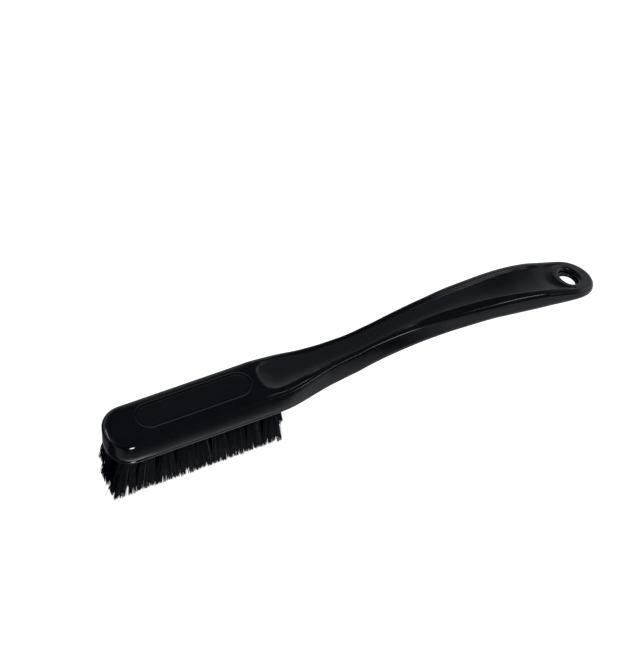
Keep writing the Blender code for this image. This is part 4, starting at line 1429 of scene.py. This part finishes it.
    def glow_with_painted_shadow(self, tree: bpy.types.NodeTree, x: Socket, y: Socket) -> Socket:
        """Reckon the white glow: full on the open floor, none under the bristles, which leaves a
        painted shadow there.

        Args:
            tree: the floor's nodes.
            x: the place's X.
            y: its Y.

        Returns:
            The level there.
        """
        back, front, half, edge = self.under_brush
        near = tree.nodes.new("ShaderNodeClamp")
        for name, source in (("Min", back), ("Max", front), ("Value", x)):
            plug(tree, near.inputs[name], source)
        foot = tree.nodes.new("ShaderNodeCombineXYZ")
        plug(tree, foot.inputs["X"], near.outputs["Result"])
        spot = tree.nodes.new("ShaderNodeCombineXYZ")
        plug(tree, spot.inputs["X"], x)
        plug(tree, spot.inputs["Y"], y)
        inward = reckon_vector(tree, "DISTANCE", foot.outputs["Vector"], spot.outputs["Vector"])
        # The glow fades out inside the oblong: a painted shadow under the bristles
        return remap(tree, inward, (half - edge, half), (0.0, self.glow), soft=True)

    def world(self) -> None:
        """White to the camera; in the gloss a dim room with a bright band low on the far side."""
        world = bpy.data.worlds.new("studio")
        bpy.context.scene.world = world
        world.use_nodes = True
        tree = world.node_tree
        ground = tree.nodes["Background"].inputs
        ground["Color"].default_value = (1.0, 1.0, 1.0, 1.0)
        _, x, y, z = split_place(tree, "Generated")
        low = remap(tree, z, self.band_height, (1.0, 0.0), soft=True)
        band = reckon(tree, "MULTIPLY", low, remap(tree, y, self.band_far, soft=True))
        level = remap(tree, band, after=(self.room_level, self.band_level))
        onward = remap(tree, x, self.right_side, (1.0, self.right_gain), soft=True)
        lit = reckon(tree, "MULTIPLY", level, onward)
        path = tree.nodes.new("ShaderNodeLightPath").outputs
        unseen = mix(tree, "FLOAT", path["Is Glossy Ray"], self.matte_level, lit)
        plug(tree, ground["Strength"], mix(tree, "FLOAT", path["Is Camera Ray"], unseen, 1.0))

    def build(self) -> None:
        """Set the whole studio up."""
        self.camera()
        self.floor()
        self.world()
        for lamp in self.lamps:
            lamp.hang(self.lamp_distance)
        bpy.context.scene.view_settings.view_transform = "Standard"
        LOG.info("studio: %d lamps", len(self.lamps))


def main() -> None:
    """Build the brush's looks in the frame."""
    logging.basicConfig(level=logging.INFO, format="%(name)s: %(message)s")
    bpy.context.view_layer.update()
    low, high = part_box(BODY_NODE)
    form = BodyForm(length=(high.x - low.x) / MM, block_width=(high.y - low.y) / MM,
                    underside=low.z / MM)
    places = [node_middle(name) for name in sorted(frame["nodes"])
              if name.startswith(ANCHOR_PREFIX)]
    MouldedBody(form).build(places)
    BristleField(form).build()
    dress_anchors()
    Studio().build()


if __name__ == "__main__":
    main()
